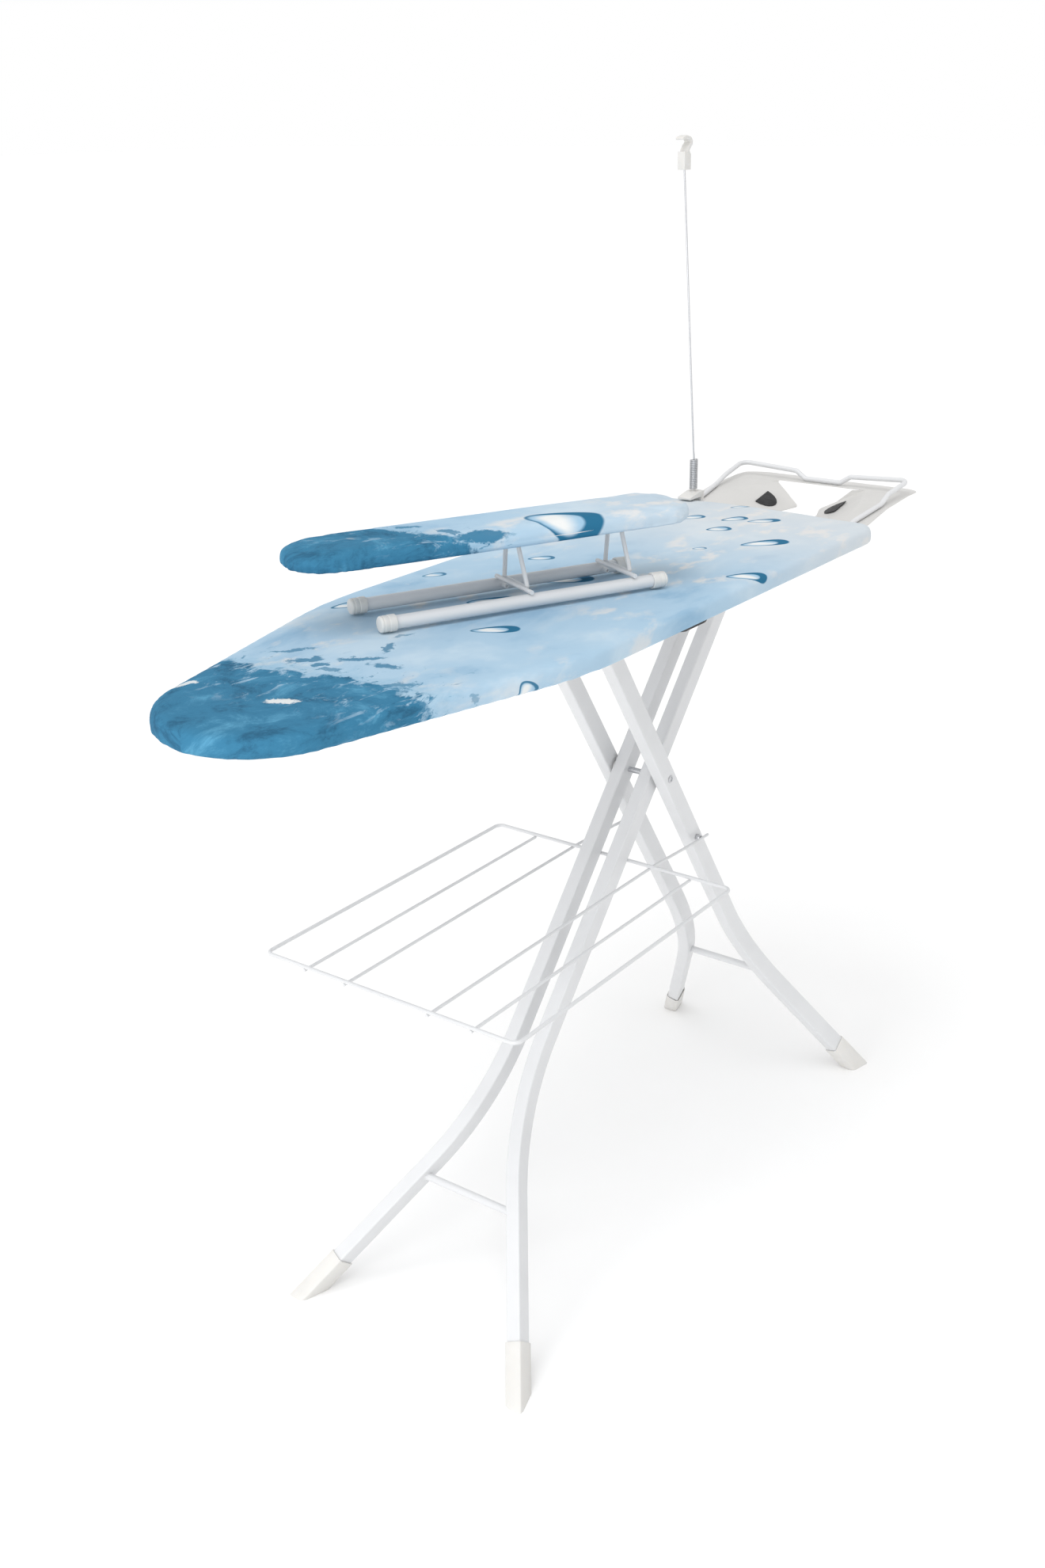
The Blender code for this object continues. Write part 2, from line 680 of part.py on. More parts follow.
# ---------------------------------------------------------------- iron rest
def pressed(name, outline, lift, thickness, look):
    """A sheet at a height above the tray's surface, trimmed to an outline.

    The tray rises towards the tail.  Inside a crease its two wings slope down to the middle.
    """
    rows = len(TRAY_STATIONS) - 1
    outer_columns = TRAY_COLUMNS // 2 - 2
    mesh = bpy.data.meshes.new(name)
    work = bmesh.new()
    bmesh.ops.create_grid(work, x_segments=rows, y_segments=TRAY_COLUMNS, size=0.5)
    for corner in work.verts:
        x, edge = TRAY_STATIONS[round((corner.co.x + 0.5) * rows)]
        column = round(corner.co.y * TRAY_COLUMNS)
        spread = min(CREASE_LIMIT, TRAY_CREASE[1] + CREASE_SPREAD * max(0.0, TRAY_CREASE[0] - x))
        if abs(column) <= 2:
            reach = spread * abs(column) / 2.0
        else:
            reach = spread + (TRAY_HALF + 0.01 - spread) * (abs(column) - 2) / outer_columns
        dip = WING_SLOPE * max(0.0, spread - reach) if x < TRAY_CREASE[0] else 0.0
        corner.co = (x, math.copysign(reach, column), edge - dip + lift)
    work.to_mesh(mesh)
    work.free()
    sheet = keep(bpy.data.objects.new(name, mesh), look)
    skin = sheet.modifiers.new("sheet", "SOLIDIFY")
    skin.thickness = thickness
    skin.offset = 0.0
    blank = mesh_from_curve(plate(name + "_outline", [outline], *TRAY_ROOM, None))
    return boolean(sheet, blank, "INTERSECT")


def make_tray():
    start, end = TRAY_X
    outline = fillet([(start, -0.149), (start + 0.07, -TRAY_HALF), (end, -TRAY_TAIL_HALF),
                      (end, TRAY_TAIL_HALF), (start + 0.07, TRAY_HALF), (start, 0.149)],
                     [0.0, 0.05, 0.034, 0.034, 0.05, 0.0], 18.0)
    tray = pressed("iron_tray", outline, 0.0, TRAY_SKIN, PAINT)
    half = [(0.6335, 0.077), (0.599, 0.018), (0.566, 0.030), (0.478, 0.034)]
    radii = [0.0025, 0.006, 0.012, 0.014]
    mirrored = [(x, -y) for x, y in reversed(half)]
    opening = fillet(half + mirrored, radii + radii[::-1], 30.0)
    hole = mesh_from_curve(plate("tray_opening", [opening], *TRAY_ROOM, None))
    boolean(tray, hole)
    smooth(tray)


def make_pads():
    """Half-oval pads lying on the sloping wings, flat side outwards."""
    lift = TRAY_SKIN / 2.0 + 2.0 * TOUCH + PAD_SKIN / 2.0
    for name, side in (("heat_pad_far", 1.0), ("heat_pad_near", -1.0)):
        outline = []
        for index in range(11):
            angle = math.pi * index / 10.0
            outline.append((PAD_CENTRE[0] + PAD_SIZE[0] * math.cos(angle),
                            side * (PAD_CENTRE[1] - PAD_SIZE[1] * math.sin(angle))))
        smooth(pressed(name, outline, lift, PAD_SKIN, BLACK_RUBBER))


def make_rail():
    half = [(0.366, 0.128, 0.8958), (0.440, 0.128, 0.8958), (0.483, 0.131, 0.9080),
            (0.555, 0.138, 0.9190), (0.581, 0.137, 0.9290), (0.643, 0.141, 0.9390),
            (0.643, 0.046, 0.9340), (0.642, 0.030, 0.9236)]
    radii = [0.0, 0.04, 0.05, 0.02, 0.02, 0.014, 0.008, 0.008]
    path = half + [(x, -y, z) for x, y, z in reversed(half)]
    wire("rest_rail", fillet(path, radii + radii[::-1], 30.0, closed=False), RAIL_RADIUS, PAINT)


# ---------------------------------------------------------------- cord holder
def make_cord_holder():
    x, y = FLEX_X, FLEX_Y
    edge = TAIL_X - TAIL_BOW * (y - CLAMP_HALF) / HALF_WIDTH + 3.0 * TOUCH - x
    back = edge + 0.0080
    jaw = [(-0.026, 0.0), (-0.026, 0.0035), (0.0, 0.0085), (back, 0.0085), (back, -0.0305),
           (-0.030, -0.0305), (-0.030, -0.0275), (edge, -0.0275), (edge, 0.0)]
    clamp = plate("flex_clamp", [jaw], -CLAMP_HALF, CLAMP_HALF, WHITE_PLASTIC)
    clamp.matrix_world = Matrix.Translation((x, y, COVER_TOP + 2.0 * TOUCH)) @ UPRIGHT
    clamp = mesh_from_curve(clamp)
    post = round_bar("flex_post", (x, y, COVER_TOP + 0.004), (x, y, SPRING_Z[0] + 0.008), 0.0036, None, 10)
    boolean(clamp, post, "UNION")
    screw_z = COVER_LOW - 0.0035
    screw_x = x + CLAMP_SCREW_X
    drill(clamp, (screw_x, y, screw_z - 0.01), (screw_x, y, screw_z + 0.01), 0.0025, 8)
    head = [(0.0, 0.0020), (0.0021, 0.0020), (0.0021, -0.0070), (0.0058, -0.0070), (0.0058, -0.0120),
            (0.0, -0.0120)]
    place = Matrix.Translation((screw_x, y, COVER_LOW - 0.0028))
    smooth(turned("flex_clamp_screw", head, place, PLAIN_STEEL, ROD_SIDES))
    coil = []
    per_turn = 8
    low, high = SPRING_Z[0] + SPRING_WIRE + 0.0004, SPRING_Z[1] - SPRING_WIRE
    for index in range(SPRING_TURNS * per_turn + 1):
        share = index / (SPRING_TURNS * per_turn)
        angle = math.tau * index / per_turn
        coil.append((x + SPRING_RADIUS * math.cos(angle), y + SPRING_RADIUS * math.sin(angle),
                     low + (high - low) * share))
    wire("flex_spring", coil, SPRING_WIRE, PLAIN_STEEL, sides=4)
    rod = [(x, y, FLEX_PIVOT_Z - 0.010), (x, y, SPRING_Z[1] + 0.003), (x, y + 0.001, SPRING_Z[1] + 0.012),
           FLEX_TOP]
    wire("flex_rod", rod, FLEX_ROD_RADIUS, PLAIN_STEEL)
    make_clip()


def make_clip():
    """A small box on the rod's top end with an open hook above it for the flex."""
    hook = [(-0.0085, -0.012), (0.0085, -0.012), (0.0085, 0.008), (0.0045, 0.0130), (0.0085, 0.0175),
            (0.0125, 0.0215), (0.0125, 0.0265), (0.0075, 0.0310), (-0.0020, 0.0330), (-0.0120, 0.0310),
            (-0.0150, 0.0285), (-0.0120, 0.0272), (-0.0010, 0.0290), (0.0055, 0.0275), (0.0088, 0.0240),
            (0.0040, 0.0205), (-0.0010, 0.0150), (-0.0020, 0.0120), (-0.0085, 0.0120)]
    clip = plate("cord_clip", [hook], -CLIP_HALF, CLIP_HALF, WHITE_PLASTIC)
    clip.matrix_world = Matrix.Translation(FLEX_TOP) @ UPRIGHT
    clip = mesh_from_curve(clip)
    start = FLEX_TOP + Vector((0.0, -0.001, -0.022))
    drill(clip, start, FLEX_TOP + Vector((0.0, 0.0, 0.0015)), FLEX_ROD_RADIUS + TOUCH, 10)


# ---------------------------------------------------------------- sleeve board
SLEEVE = Matrix.Translation(SLEEVE_ORIGIN) @ Matrix.Rotation(SLEEVE_ANGLE, 4, "Z")


def on_sleeve(points):
    return [SLEEVE @ Vector(p) for p in points]


def sleeve_loop(inset):
    nose, tail = SLEEVE_X
    half = SLEEVE_HALF - inset
    near = [(nose + inset, -0.047 + inset), (0.030, -half), (0.220, -half), (tail - inset, -0.052 + inset)]
    corners = near + [(x, -y) for x, y in reversed(near)]
    half_radii = [0.0465 - inset, 0.3, 0.3, 0.042 - inset]
    return fillet(corners, half_radii + half_radii[::-1], 18.0)


def make_skids():
    for name, side in (("skid_far", 1.0), ("skid_near", -1.0)):
        y = side * SKID_HALF_GAP
        start, end = on_sleeve([(0.0037, y, SKID_Z), (SKID_LENGTH - 0.0037, y, SKID_Z)])
        skid = round_bar(name, start, end, SKID_RADIUS, PAINT, 16)
        for x in BRACKET_X:
            reach = y - side * (SKID_RADIUS + PEG_LENGTH)
            ends = on_sleeve([(x + PEG_OFFSET, y, SKID_Z), (x + PEG_OFFSET, reach, SKID_Z)])
            boolean(skid, round_bar(f"{name}_peg", ends[0], ends[1], PEG_RADIUS, None, 10), "UNION")
    corner = 0.0030
    r, bore = SKID_CAP_RADIUS, SKID_RADIUS + TOUCH
    cap = [(0.0, 0.0), (r - corner, 0.0), (r - 0.0008, -0.0012), (r, -0.0035), (r, -0.0190),
           (r - 0.0010, -0.0200), (bore, -0.0200), (bore, -0.0033), (0.0, -0.0033)]
    number = 0
    for side in (1.0, -1.0):
        for x, direction in ((0.0, -1.0), (SKID_LENGTH, 1.0)):
            number += 1
            middle = SLEEVE @ Vector((x, side * SKID_HALF_GAP, SKID_Z))
            place = facing(middle, SLEEVE.to_3x3() @ Vector((direction, 0.0, 0.0)))
            smooth(turned(f"skid_cap_{number}", cap, place, WHITE_PLASTIC, 16))


def make_brackets():
    """Each bracket is a cross rod on the skids, welded to a hoop that narrows upwards."""
    low, top = BRACKET_LOW_Z, BRACKET_TOP_Z
    for name, x in (("bracket_nose", BRACKET_X[0]), ("bracket_tail", BRACKET_X[1])):
        rod = on_sleeve([(x, y, low) for y in CROSS_ROD_Y])
        base = round_bar(name, rod[0], rod[1], BRACKET_RADIUS, PAINT, 8)
        foot = x + HOOP_OFFSET
        hoop = on_sleeve([(foot, -HOOP_LOW_HALF, low), (x, -HOOP_TOP_HALF, top), (x, HOOP_TOP_HALF, top),
                          (foot, HOOP_LOW_HALF, low)])
        upper = wire(name + "_hoop", fillet(hoop, [0.003, 0.007, 0.007, 0.003], 30.0),
                     BRACKET_RADIUS, None, closed=True)
        boolean(base, mesh_from_curve(upper), "UNION")


def make_sleeve_board():
    panel_low, panel_high = BRACKET_TOP_Z + 0.0065, BRACKET_TOP_Z + 0.0077
    panel = mesh_from_curve(plate("sleeve_panel", [sleeve_loop(0.003)], panel_low, panel_high, PAINT))
    pad = plate("sleeve_pad", [sleeve_loop(0.003)], panel_high + TOUCH, SLEEVE_TOP - 0.0021, FOAM)
    for piece in (panel, pad):
        piece.matrix_world = SLEEVE @ Matrix.Translation((0.0, 0.0, piece.location.z))
    cover = soft_shell("sleeve_cover", sleeve_loop(0.0), sleeve_loop(COVER_SKIN), SLEEVE_LOW,
                       SLEEVE_TOP - 0.0018, SLEEVE_TOP, COTTON)
    tool = cover.modifiers[0].object
    for piece in (cover, tool):
        piece.matrix_world = SLEEVE @ piece.matrix_world
    middle = (panel_low + panel_high) / 2.0
    for x in BRACKET_X:
        low = BRACKET_TOP_Z - 0.0052
        clip = box("bracket_clip", (x - 0.0055, -0.0045, low), (x + 0.0055, 0.0045, middle), None, SLEEVE)
        boolean(panel, clip, "UNION")
        ends = on_sleeve([(x, -0.02, BRACKET_TOP_Z), (x, 0.02, BRACKET_TOP_Z)])
        drill(panel, ends[0], ends[1], BRACKET_RADIUS + TOUCH, 10)


# ---------------------------------------------------------------- assembly
def group_bodies():
    carry(body("inner_legs", hinge_point()), "inner_leg_far", "inner_leg_near", "inner_crossbar",
          "inner_hinge_rod", "inner_foot_far", "inner_foot_near", "inner_plug_far", "inner_plug_near",
          "pivot_rod", "pivot_spacer_far", "pivot_spacer_near")
    carry(body("outer_legs", PIVOT), "outer_leg_far", "outer_leg_near", "outer_crossbar", "slider_rod",
          "outer_foot_far", "outer_foot_near", "outer_plug_far", "outer_plug_near")
    carry(body("shelf", (SHELF_HANG_X, 0.0, hang_z())), "shelf_rim", "shelf_wire_1", "shelf_wire_2",
          "shelf_wire_3", "shelf_wire_4", "shelf_rivet_far", "shelf_rivet_near")
    carry(body("lever", LEVER_PIVOT), "release_lever", "release_grip")
    carry(body("flex", (FLEX_X, FLEX_Y, FLEX_PIVOT_Z)), "flex_rod", "cord_clip")
    skid_names = ["skid_far", "skid_near"] + [f"skid_cap_{i}" for i in range(1, 5)]
    carry(body("sleeve_base", SLEEVE @ Vector((0.0, 0.0, SKID_Z))), *skid_names)
    carry(body("nose_bracket", SLEEVE @ Vector((BRACKET_X[0], 0.0, BRACKET_LOW_Z))), "bracket_nose")
    carry(body("tail_bracket", SLEEVE @ Vector((BRACKET_X[1], 0.0, BRACKET_LOW_Z))), "bracket_tail")
    carry(body("sleeve_top", SLEEVE @ Vector((BRACKET_X[1], 0.0, BRACKET_TOP_Z))), "sleeve_panel",
          "sleeve_pad", "sleeve_cover")


make_board()
make_track()
make_legs()
make_lever()
make_shelf()
make_tray()
make_pads()
make_rail()
make_cord_holder()
make_skids()
make_brackets()
make_sleeve_board()
group_bodies()
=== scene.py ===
"""Looks of the folding ironing board: materials, soft covers, light and camera.

Metres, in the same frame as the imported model: X from the nose to the iron rest, +Z up.
"""
import json
import math

import bmesh
import bpy
from mathutils import Matrix, Vector, noise
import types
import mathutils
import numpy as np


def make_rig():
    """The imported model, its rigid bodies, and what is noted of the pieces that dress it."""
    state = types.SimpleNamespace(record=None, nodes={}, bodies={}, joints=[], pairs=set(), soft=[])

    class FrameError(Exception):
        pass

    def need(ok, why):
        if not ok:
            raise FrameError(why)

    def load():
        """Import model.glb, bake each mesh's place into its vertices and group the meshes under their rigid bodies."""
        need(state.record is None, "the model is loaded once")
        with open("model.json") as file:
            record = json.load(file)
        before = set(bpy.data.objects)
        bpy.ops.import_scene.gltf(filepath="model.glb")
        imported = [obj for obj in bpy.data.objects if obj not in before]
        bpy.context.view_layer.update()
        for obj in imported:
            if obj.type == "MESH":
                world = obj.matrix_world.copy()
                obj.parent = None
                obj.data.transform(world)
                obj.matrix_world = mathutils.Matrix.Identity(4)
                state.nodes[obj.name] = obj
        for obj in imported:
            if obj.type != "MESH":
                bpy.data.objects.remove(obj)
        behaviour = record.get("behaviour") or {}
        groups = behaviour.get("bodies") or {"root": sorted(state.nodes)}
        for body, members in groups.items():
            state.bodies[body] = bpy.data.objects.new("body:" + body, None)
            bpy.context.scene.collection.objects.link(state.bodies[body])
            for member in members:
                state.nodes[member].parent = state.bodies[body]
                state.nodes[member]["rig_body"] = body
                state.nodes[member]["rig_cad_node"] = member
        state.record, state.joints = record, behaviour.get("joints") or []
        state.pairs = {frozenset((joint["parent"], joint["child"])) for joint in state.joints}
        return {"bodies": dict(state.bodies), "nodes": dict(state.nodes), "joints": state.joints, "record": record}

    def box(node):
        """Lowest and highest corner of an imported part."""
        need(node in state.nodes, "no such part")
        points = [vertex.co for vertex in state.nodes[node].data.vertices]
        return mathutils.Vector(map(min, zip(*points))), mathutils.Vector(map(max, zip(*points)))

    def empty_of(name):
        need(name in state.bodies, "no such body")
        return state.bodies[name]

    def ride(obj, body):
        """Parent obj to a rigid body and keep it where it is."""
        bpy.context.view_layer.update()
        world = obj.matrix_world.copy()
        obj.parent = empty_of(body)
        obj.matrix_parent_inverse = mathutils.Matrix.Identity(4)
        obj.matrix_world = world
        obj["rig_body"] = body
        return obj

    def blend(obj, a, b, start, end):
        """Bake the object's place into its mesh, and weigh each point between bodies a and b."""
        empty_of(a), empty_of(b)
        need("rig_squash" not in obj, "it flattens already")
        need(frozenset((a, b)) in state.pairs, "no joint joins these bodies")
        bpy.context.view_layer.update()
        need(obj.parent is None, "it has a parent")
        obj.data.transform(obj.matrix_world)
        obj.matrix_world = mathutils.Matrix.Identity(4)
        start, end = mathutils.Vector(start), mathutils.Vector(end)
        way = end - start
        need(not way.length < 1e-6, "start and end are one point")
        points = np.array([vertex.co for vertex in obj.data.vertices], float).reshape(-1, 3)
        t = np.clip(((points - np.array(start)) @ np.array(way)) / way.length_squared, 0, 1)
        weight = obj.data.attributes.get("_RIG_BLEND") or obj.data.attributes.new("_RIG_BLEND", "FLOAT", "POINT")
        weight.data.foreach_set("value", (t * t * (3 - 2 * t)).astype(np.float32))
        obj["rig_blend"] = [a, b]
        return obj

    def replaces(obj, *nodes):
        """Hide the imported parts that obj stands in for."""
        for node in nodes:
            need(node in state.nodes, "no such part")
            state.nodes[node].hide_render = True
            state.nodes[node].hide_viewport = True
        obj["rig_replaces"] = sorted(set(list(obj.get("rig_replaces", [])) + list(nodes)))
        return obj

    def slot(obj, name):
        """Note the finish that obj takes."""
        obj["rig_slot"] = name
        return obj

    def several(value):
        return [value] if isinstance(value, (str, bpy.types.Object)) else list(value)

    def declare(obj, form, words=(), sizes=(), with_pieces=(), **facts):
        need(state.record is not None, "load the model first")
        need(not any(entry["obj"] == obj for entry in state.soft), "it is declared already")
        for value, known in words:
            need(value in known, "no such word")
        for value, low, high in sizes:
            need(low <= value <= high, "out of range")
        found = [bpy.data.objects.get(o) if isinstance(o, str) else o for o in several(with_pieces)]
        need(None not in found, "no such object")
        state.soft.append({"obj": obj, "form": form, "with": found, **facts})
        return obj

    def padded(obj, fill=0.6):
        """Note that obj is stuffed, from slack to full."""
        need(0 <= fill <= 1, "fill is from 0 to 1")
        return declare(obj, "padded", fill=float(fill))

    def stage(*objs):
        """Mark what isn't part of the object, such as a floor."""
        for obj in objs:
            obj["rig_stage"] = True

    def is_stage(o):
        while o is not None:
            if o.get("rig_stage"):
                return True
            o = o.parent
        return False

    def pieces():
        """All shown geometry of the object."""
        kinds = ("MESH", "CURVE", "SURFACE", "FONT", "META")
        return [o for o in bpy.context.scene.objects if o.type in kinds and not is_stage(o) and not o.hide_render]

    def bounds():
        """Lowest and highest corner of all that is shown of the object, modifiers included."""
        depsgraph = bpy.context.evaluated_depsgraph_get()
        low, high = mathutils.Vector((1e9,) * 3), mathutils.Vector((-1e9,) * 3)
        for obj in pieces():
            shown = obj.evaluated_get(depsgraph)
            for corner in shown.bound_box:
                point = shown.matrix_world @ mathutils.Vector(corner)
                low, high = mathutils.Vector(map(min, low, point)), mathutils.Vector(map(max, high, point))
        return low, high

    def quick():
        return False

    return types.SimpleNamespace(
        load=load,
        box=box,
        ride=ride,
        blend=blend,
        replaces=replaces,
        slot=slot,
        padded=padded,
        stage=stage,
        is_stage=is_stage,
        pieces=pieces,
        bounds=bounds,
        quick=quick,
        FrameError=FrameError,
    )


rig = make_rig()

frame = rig.load()
NODES = frame["nodes"]
low_corner, high_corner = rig.bounds()
CAD_BOX = [list(low_corner), list(high_corner)]

# ---------------------------------------------------------------- sizes shared with the model
NOSE_X = -0.700
TAIL_X = 0.436
TAIL_BOW = 0.012
TAIL_BOW_RADIUS = 1.2
HALF_WIDTH = 0.194
NOSE_RADIUS = 0.111
NOSE_TAPER = 0.272
KNEE_RADIUS = 0.45
TAIL_RADIUS = 0.030
COVER_LOW = 0.900
COVER_TOP = 0.926
PIVOT = Vector((0.113, 0.0, 0.614))
HINGE_Z = 0.884
SLEEVE_PLACE = (-0.345, 0.078)
SLEEVE_TURN = math.radians(-25.6)
SLEEVE = Matrix.Translation((*SLEEVE_PLACE, 0.0)) @ Matrix.Rotation(SLEEVE_TURN, 4, "Z")
SLEEVE_X = (-0.091, 0.423)
SLEEVE_HALF = 0.055
SLEEVE_WIDE = (0.030, 0.220)
SLEEVE_NOSE_HALF = 0.047
SLEEVE_TAIL_HALF = 0.052
SLEEVE_NOSE_RADIUS = 0.0465
SLEEVE_TAIL_RADIUS = 0.042
SLEEVE_SIDE_RADIUS = 0.3
SLEEVE_LOW = 1.0015
SLEEVE_TOP = 1.0265


# ---------------------------------------------------------------- camera, light and floor
LENS = 38.12
SENSOR_HEIGHT = 36.0
CAMERA_PLACE = (-1.6966, -1.1378, 1.4625)
YAW = 0.6355
PITCH = 0.3856
ROLL = -0.0160
SKY_RIM = 1.0
SKY_TOP = 0.78
SKY_RIM_HEIGHT = 0.055
SKY_TOP_HEIGHT = 0.100
LIT_POINT = (0.0, 0.0, 0.7)
KEY_PLACE = (0.6, -3.4, 3.4)
KEY_SIZE = 2.2
KEY_POWER = 3.0
FILL_PLACE = (-3.8, -0.2, 0.9)
FILL_SIZE = 2.0
FILL_POWER = 34.0
SUN_POWER = 1.25
SUN_WIDTH = math.radians(50.0)
SUN_TURN = (math.radians(4.0), math.radians(-30.0), 0.0)
FLOOR_HALF = 60.0


def add_camera():
    data = bpy.data.cameras.new("camera")
    data.lens = LENS
    data.sensor_fit = "VERTICAL"
    data.sensor_height = SENSOR_HEIGHT
    ahead = Vector((math.cos(YAW) * math.cos(PITCH), math.sin(YAW) * math.cos(PITCH), -math.sin(PITCH)))
    right = Vector((math.sin(YAW), -math.cos(YAW), 0.0))
    up = right.cross(ahead)
    side = right * math.cos(ROLL) + up * math.sin(ROLL)
    top = up * math.cos(ROLL) - right * math.sin(ROLL)
    camera = bpy.data.objects.new("camera", data)
    bpy.context.scene.collection.objects.link(camera)
    turn = Matrix((side, top, -ahead)).transposed().to_4x4()
    camera.matrix_world = Matrix.Translation(CAMERA_PLACE) @ turn
    bpy.context.scene.camera = camera


def add_area(name, place, target, size, power):
    data = bpy.data.lights.new(name, "AREA")
    data.shape = "RECTANGLE"
    data.size = size
    data.size_y = size
    data.energy = power
    lamp = bpy.data.objects.new(name, data)
    lamp.location = place
    lamp.rotation_euler = (Vector(target) - Vector(place)).to_track_quat("-Z", "Y").to_euler()
    bpy.context.scene.collection.objects.link(lamp)


def add_sky():
    """A surround that is white at the horizon and dimmer above it."""
    world = bpy.data.worlds.new("studio")
    bpy.context.scene.world = world
    world.use_nodes = True
    tree = world.node_tree
    place = tree.nodes.new("ShaderNodeTexCoord")
    parts = tree.nodes.new("ShaderNodeSeparateXYZ")
    ramp = tree.nodes.new("ShaderNodeValToRGB")
    tree.links.new(place.outputs["Generated"], parts.inputs[0])
    tree.links.new(parts.outputs[2], ramp.inputs[0])
    tree.links.new(ramp.outputs["Color"], tree.nodes["Background"].inputs["Color"])
    stops = ((SKY_RIM_HEIGHT, SKY_RIM), (SKY_TOP_HEIGHT, SKY_TOP))
    for element, (height, shade) in zip(ramp.color_ramp.elements, stops):
        element.position = height
        element.color = (shade, shade, shade, 1.0)


def add_sun():
    sun = bpy.data.lights.new("soft_top", "SUN")
    sun.energy = SUN_POWER
    sun.angle = SUN_WIDTH
    lamp = bpy.data.objects.new("soft_top", sun)
    lamp.rotation_euler = SUN_TURN
    bpy.context.scene.collection.objects.link(lamp)


def add_floor():
    mesh = bpy.data.meshes.new("floor")
    work = bmesh.new()
    bmesh.ops.create_grid(work, x_segments=1, y_segments=1, size=FLOOR_HALF)
    work.to_mesh(mesh)
    work.free()
    floor = bpy.data.objects.new("floor", mesh)
    bpy.context.scene.collection.objects.link(floor)
    floor.data.materials.append(floor_material())
    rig.stage(floor)


def add_studio():
    add_sky()
    bpy.context.scene.view_settings.view_transform = "Standard"
    add_area("key", KEY_PLACE, LIT_POINT, KEY_SIZE, KEY_POWER)
    add_area("fill", FILL_PLACE, LIT_POINT, FILL_SIZE, FILL_POWER)
    add_sun()
    add_floor()


# ---------------------------------------------------------------- material helpers
class Graph:
    """A material's node tree, built by short calls."""

    def __init__(self, name):
        self.material = bpy.data.materials.new(name)
        self.material.use_nodes = True
        self.tree = self.material.node_tree
        self.shader = self.tree.nodes["Principled BSDF"]
        self.coords = self.tree.nodes.new("ShaderNodeTexCoord").outputs["Object"]

    def node(self, kind, inputs=(), **settings):
        made = self.tree.nodes.new("ShaderNode" + kind)
        for key, value in settings.items():
            setattr(made, key, value)
        for key, value in dict(inputs).items():
            self.put(made.inputs[key], value)
        return made

    def put(self, socket, value):
        if isinstance(value, bpy.types.NodeSocket):
            self.tree.links.new(value, socket)
        else:
            socket.default_value = value

    def set(self, **values):
        for key, value in values.items():
            self.put(self.shader.inputs[key.replace("_", " ")], value)

    def math(self, operation, first, second=0.0):
        return self.node("Math", {0: first, 1: second}, operation=operation).outputs[0]

    def noise(self, scale, detail=3.0, rough=0.55, coords=None, warp=0.0):
        inputs = {"Vector": coords or self.coords, "Scale": scale, "Detail": detail, "Roughness": rough,
                  "Distortion": warp}
        return self.node("TexNoise", inputs).outputs["Fac"]

    def ramp(self, value, stops):
        made = self.node("ValToRGB", {"Fac": value})
        ramp = made.color_ramp
        ramp.interpolation = "EASE"
        while len(ramp.elements) < len(stops):
            ramp.elements.new(0.5)
        for element, (place, colour) in zip(ramp.elements, stops):
            element.position = place
            element.color = colour if len(colour) == 4 else (*colour, 1.0)
        return made.outputs["Color"]

    def level(self, value, low, high, out_low=0.0, out_high=1.0):
        inputs = {"Value": value, "From Min": low, "From Max": high, "To Min": out_low, "To Max": out_high}
        return self.node("MapRange", inputs, interpolation_type="SMOOTHSTEP").outputs["Result"]

    def mix(self, share, first, second):
        made = self.node("Mix", data_type="RGBA")
        self.put(made.inputs[0], share)
        self.put(made.inputs[6], first if isinstance(first, bpy.types.NodeSocket) else (*first, 1.0))
        self.put(made.inputs[7], second if isinstance(second, bpy.types.NodeSocket) else (*second, 1.0))
        return made.outputs[2]

    def bump(self, height, distance, strength=1.0, normal=None):
        inputs = {"Height": height, "Distance": distance, "Strength": strength}
        if normal:
            inputs["Normal"] = normal
        return self.node("Bump", inputs).outputs["Normal"]


def floor_material():
    g = Graph("floor")
    shade = g.ramp(g.noise(3.0, 4.0), [(0.3, (0.945, 0.945, 0.945)), (0.7, (0.96, 0.96, 0.96))])
    g.set(Base_Color=shade, Roughness=0.9)
    return g.material


def painted_steel(name, colour, rough=0.36):
    """Powder coat: fine orange peel and faint unevenness."""
    g = Graph(name)
    darker = tuple(c * 0.955 for c in colour)
    tint = g.ramp(g.noise(9.0, 4.0), [(0.30, darker), (0.65, colour)])
    roughness = g.level(g.noise(60.0, 3.0), 0.3, 0.7, rough - 0.05, rough + 0.07)
    peel = g.bump(g.noise(900.0, 2.0, 0.5), 0.00006, 0.6)
    g.set(Base_Color=tint, Roughness=roughness, Normal=peel, Coat_Weight=0.12, Coat_Roughness=0.25)
    return g.material


def bright_metal(name, colour, rough, grain=(1.0, 1.0, 14.0)):
    g = Graph(name)
    stretched = g.node("Mapping", {"Vector": g.coords, "Scale": grain}).outputs[0]
    streak = g.noise(260.0, 4.0, 0.6, stretched)
    tint = g.ramp(streak, [(0.25, tuple(c * 0.78 for c in colour)), (0.75, colour)])
    roughness = g.level(streak, 0.2, 0.8, rough - 0.06, rough + 0.12)
    g.set(Base_Color=tint, Roughness=roughness, Metallic=1.0, Normal=g.bump(streak, 0.00004, 0.4))
    return g.material


def moulded_plastic(name, colour, rough=0.42):
    g = Graph(name)
    tint = g.ramp(g.noise(22.0, 3.0), [(0.3, tuple(c * 0.95 for c in colour)), (0.7, colour)])
    grain = g.noise(1400.0, 2.0)
    roughness = g.level(g.noise(90.0, 2.0), 0.3, 0.7, rough - 0.05, rough + 0.08)
    g.set(Base_Color=tint, Roughness=roughness, Normal=g.bump(grain, 0.00005, 0.5),
          Subsurface_Weight=0.06, Subsurface_Radius=(0.004, 0.003, 0.002))
    return g.material


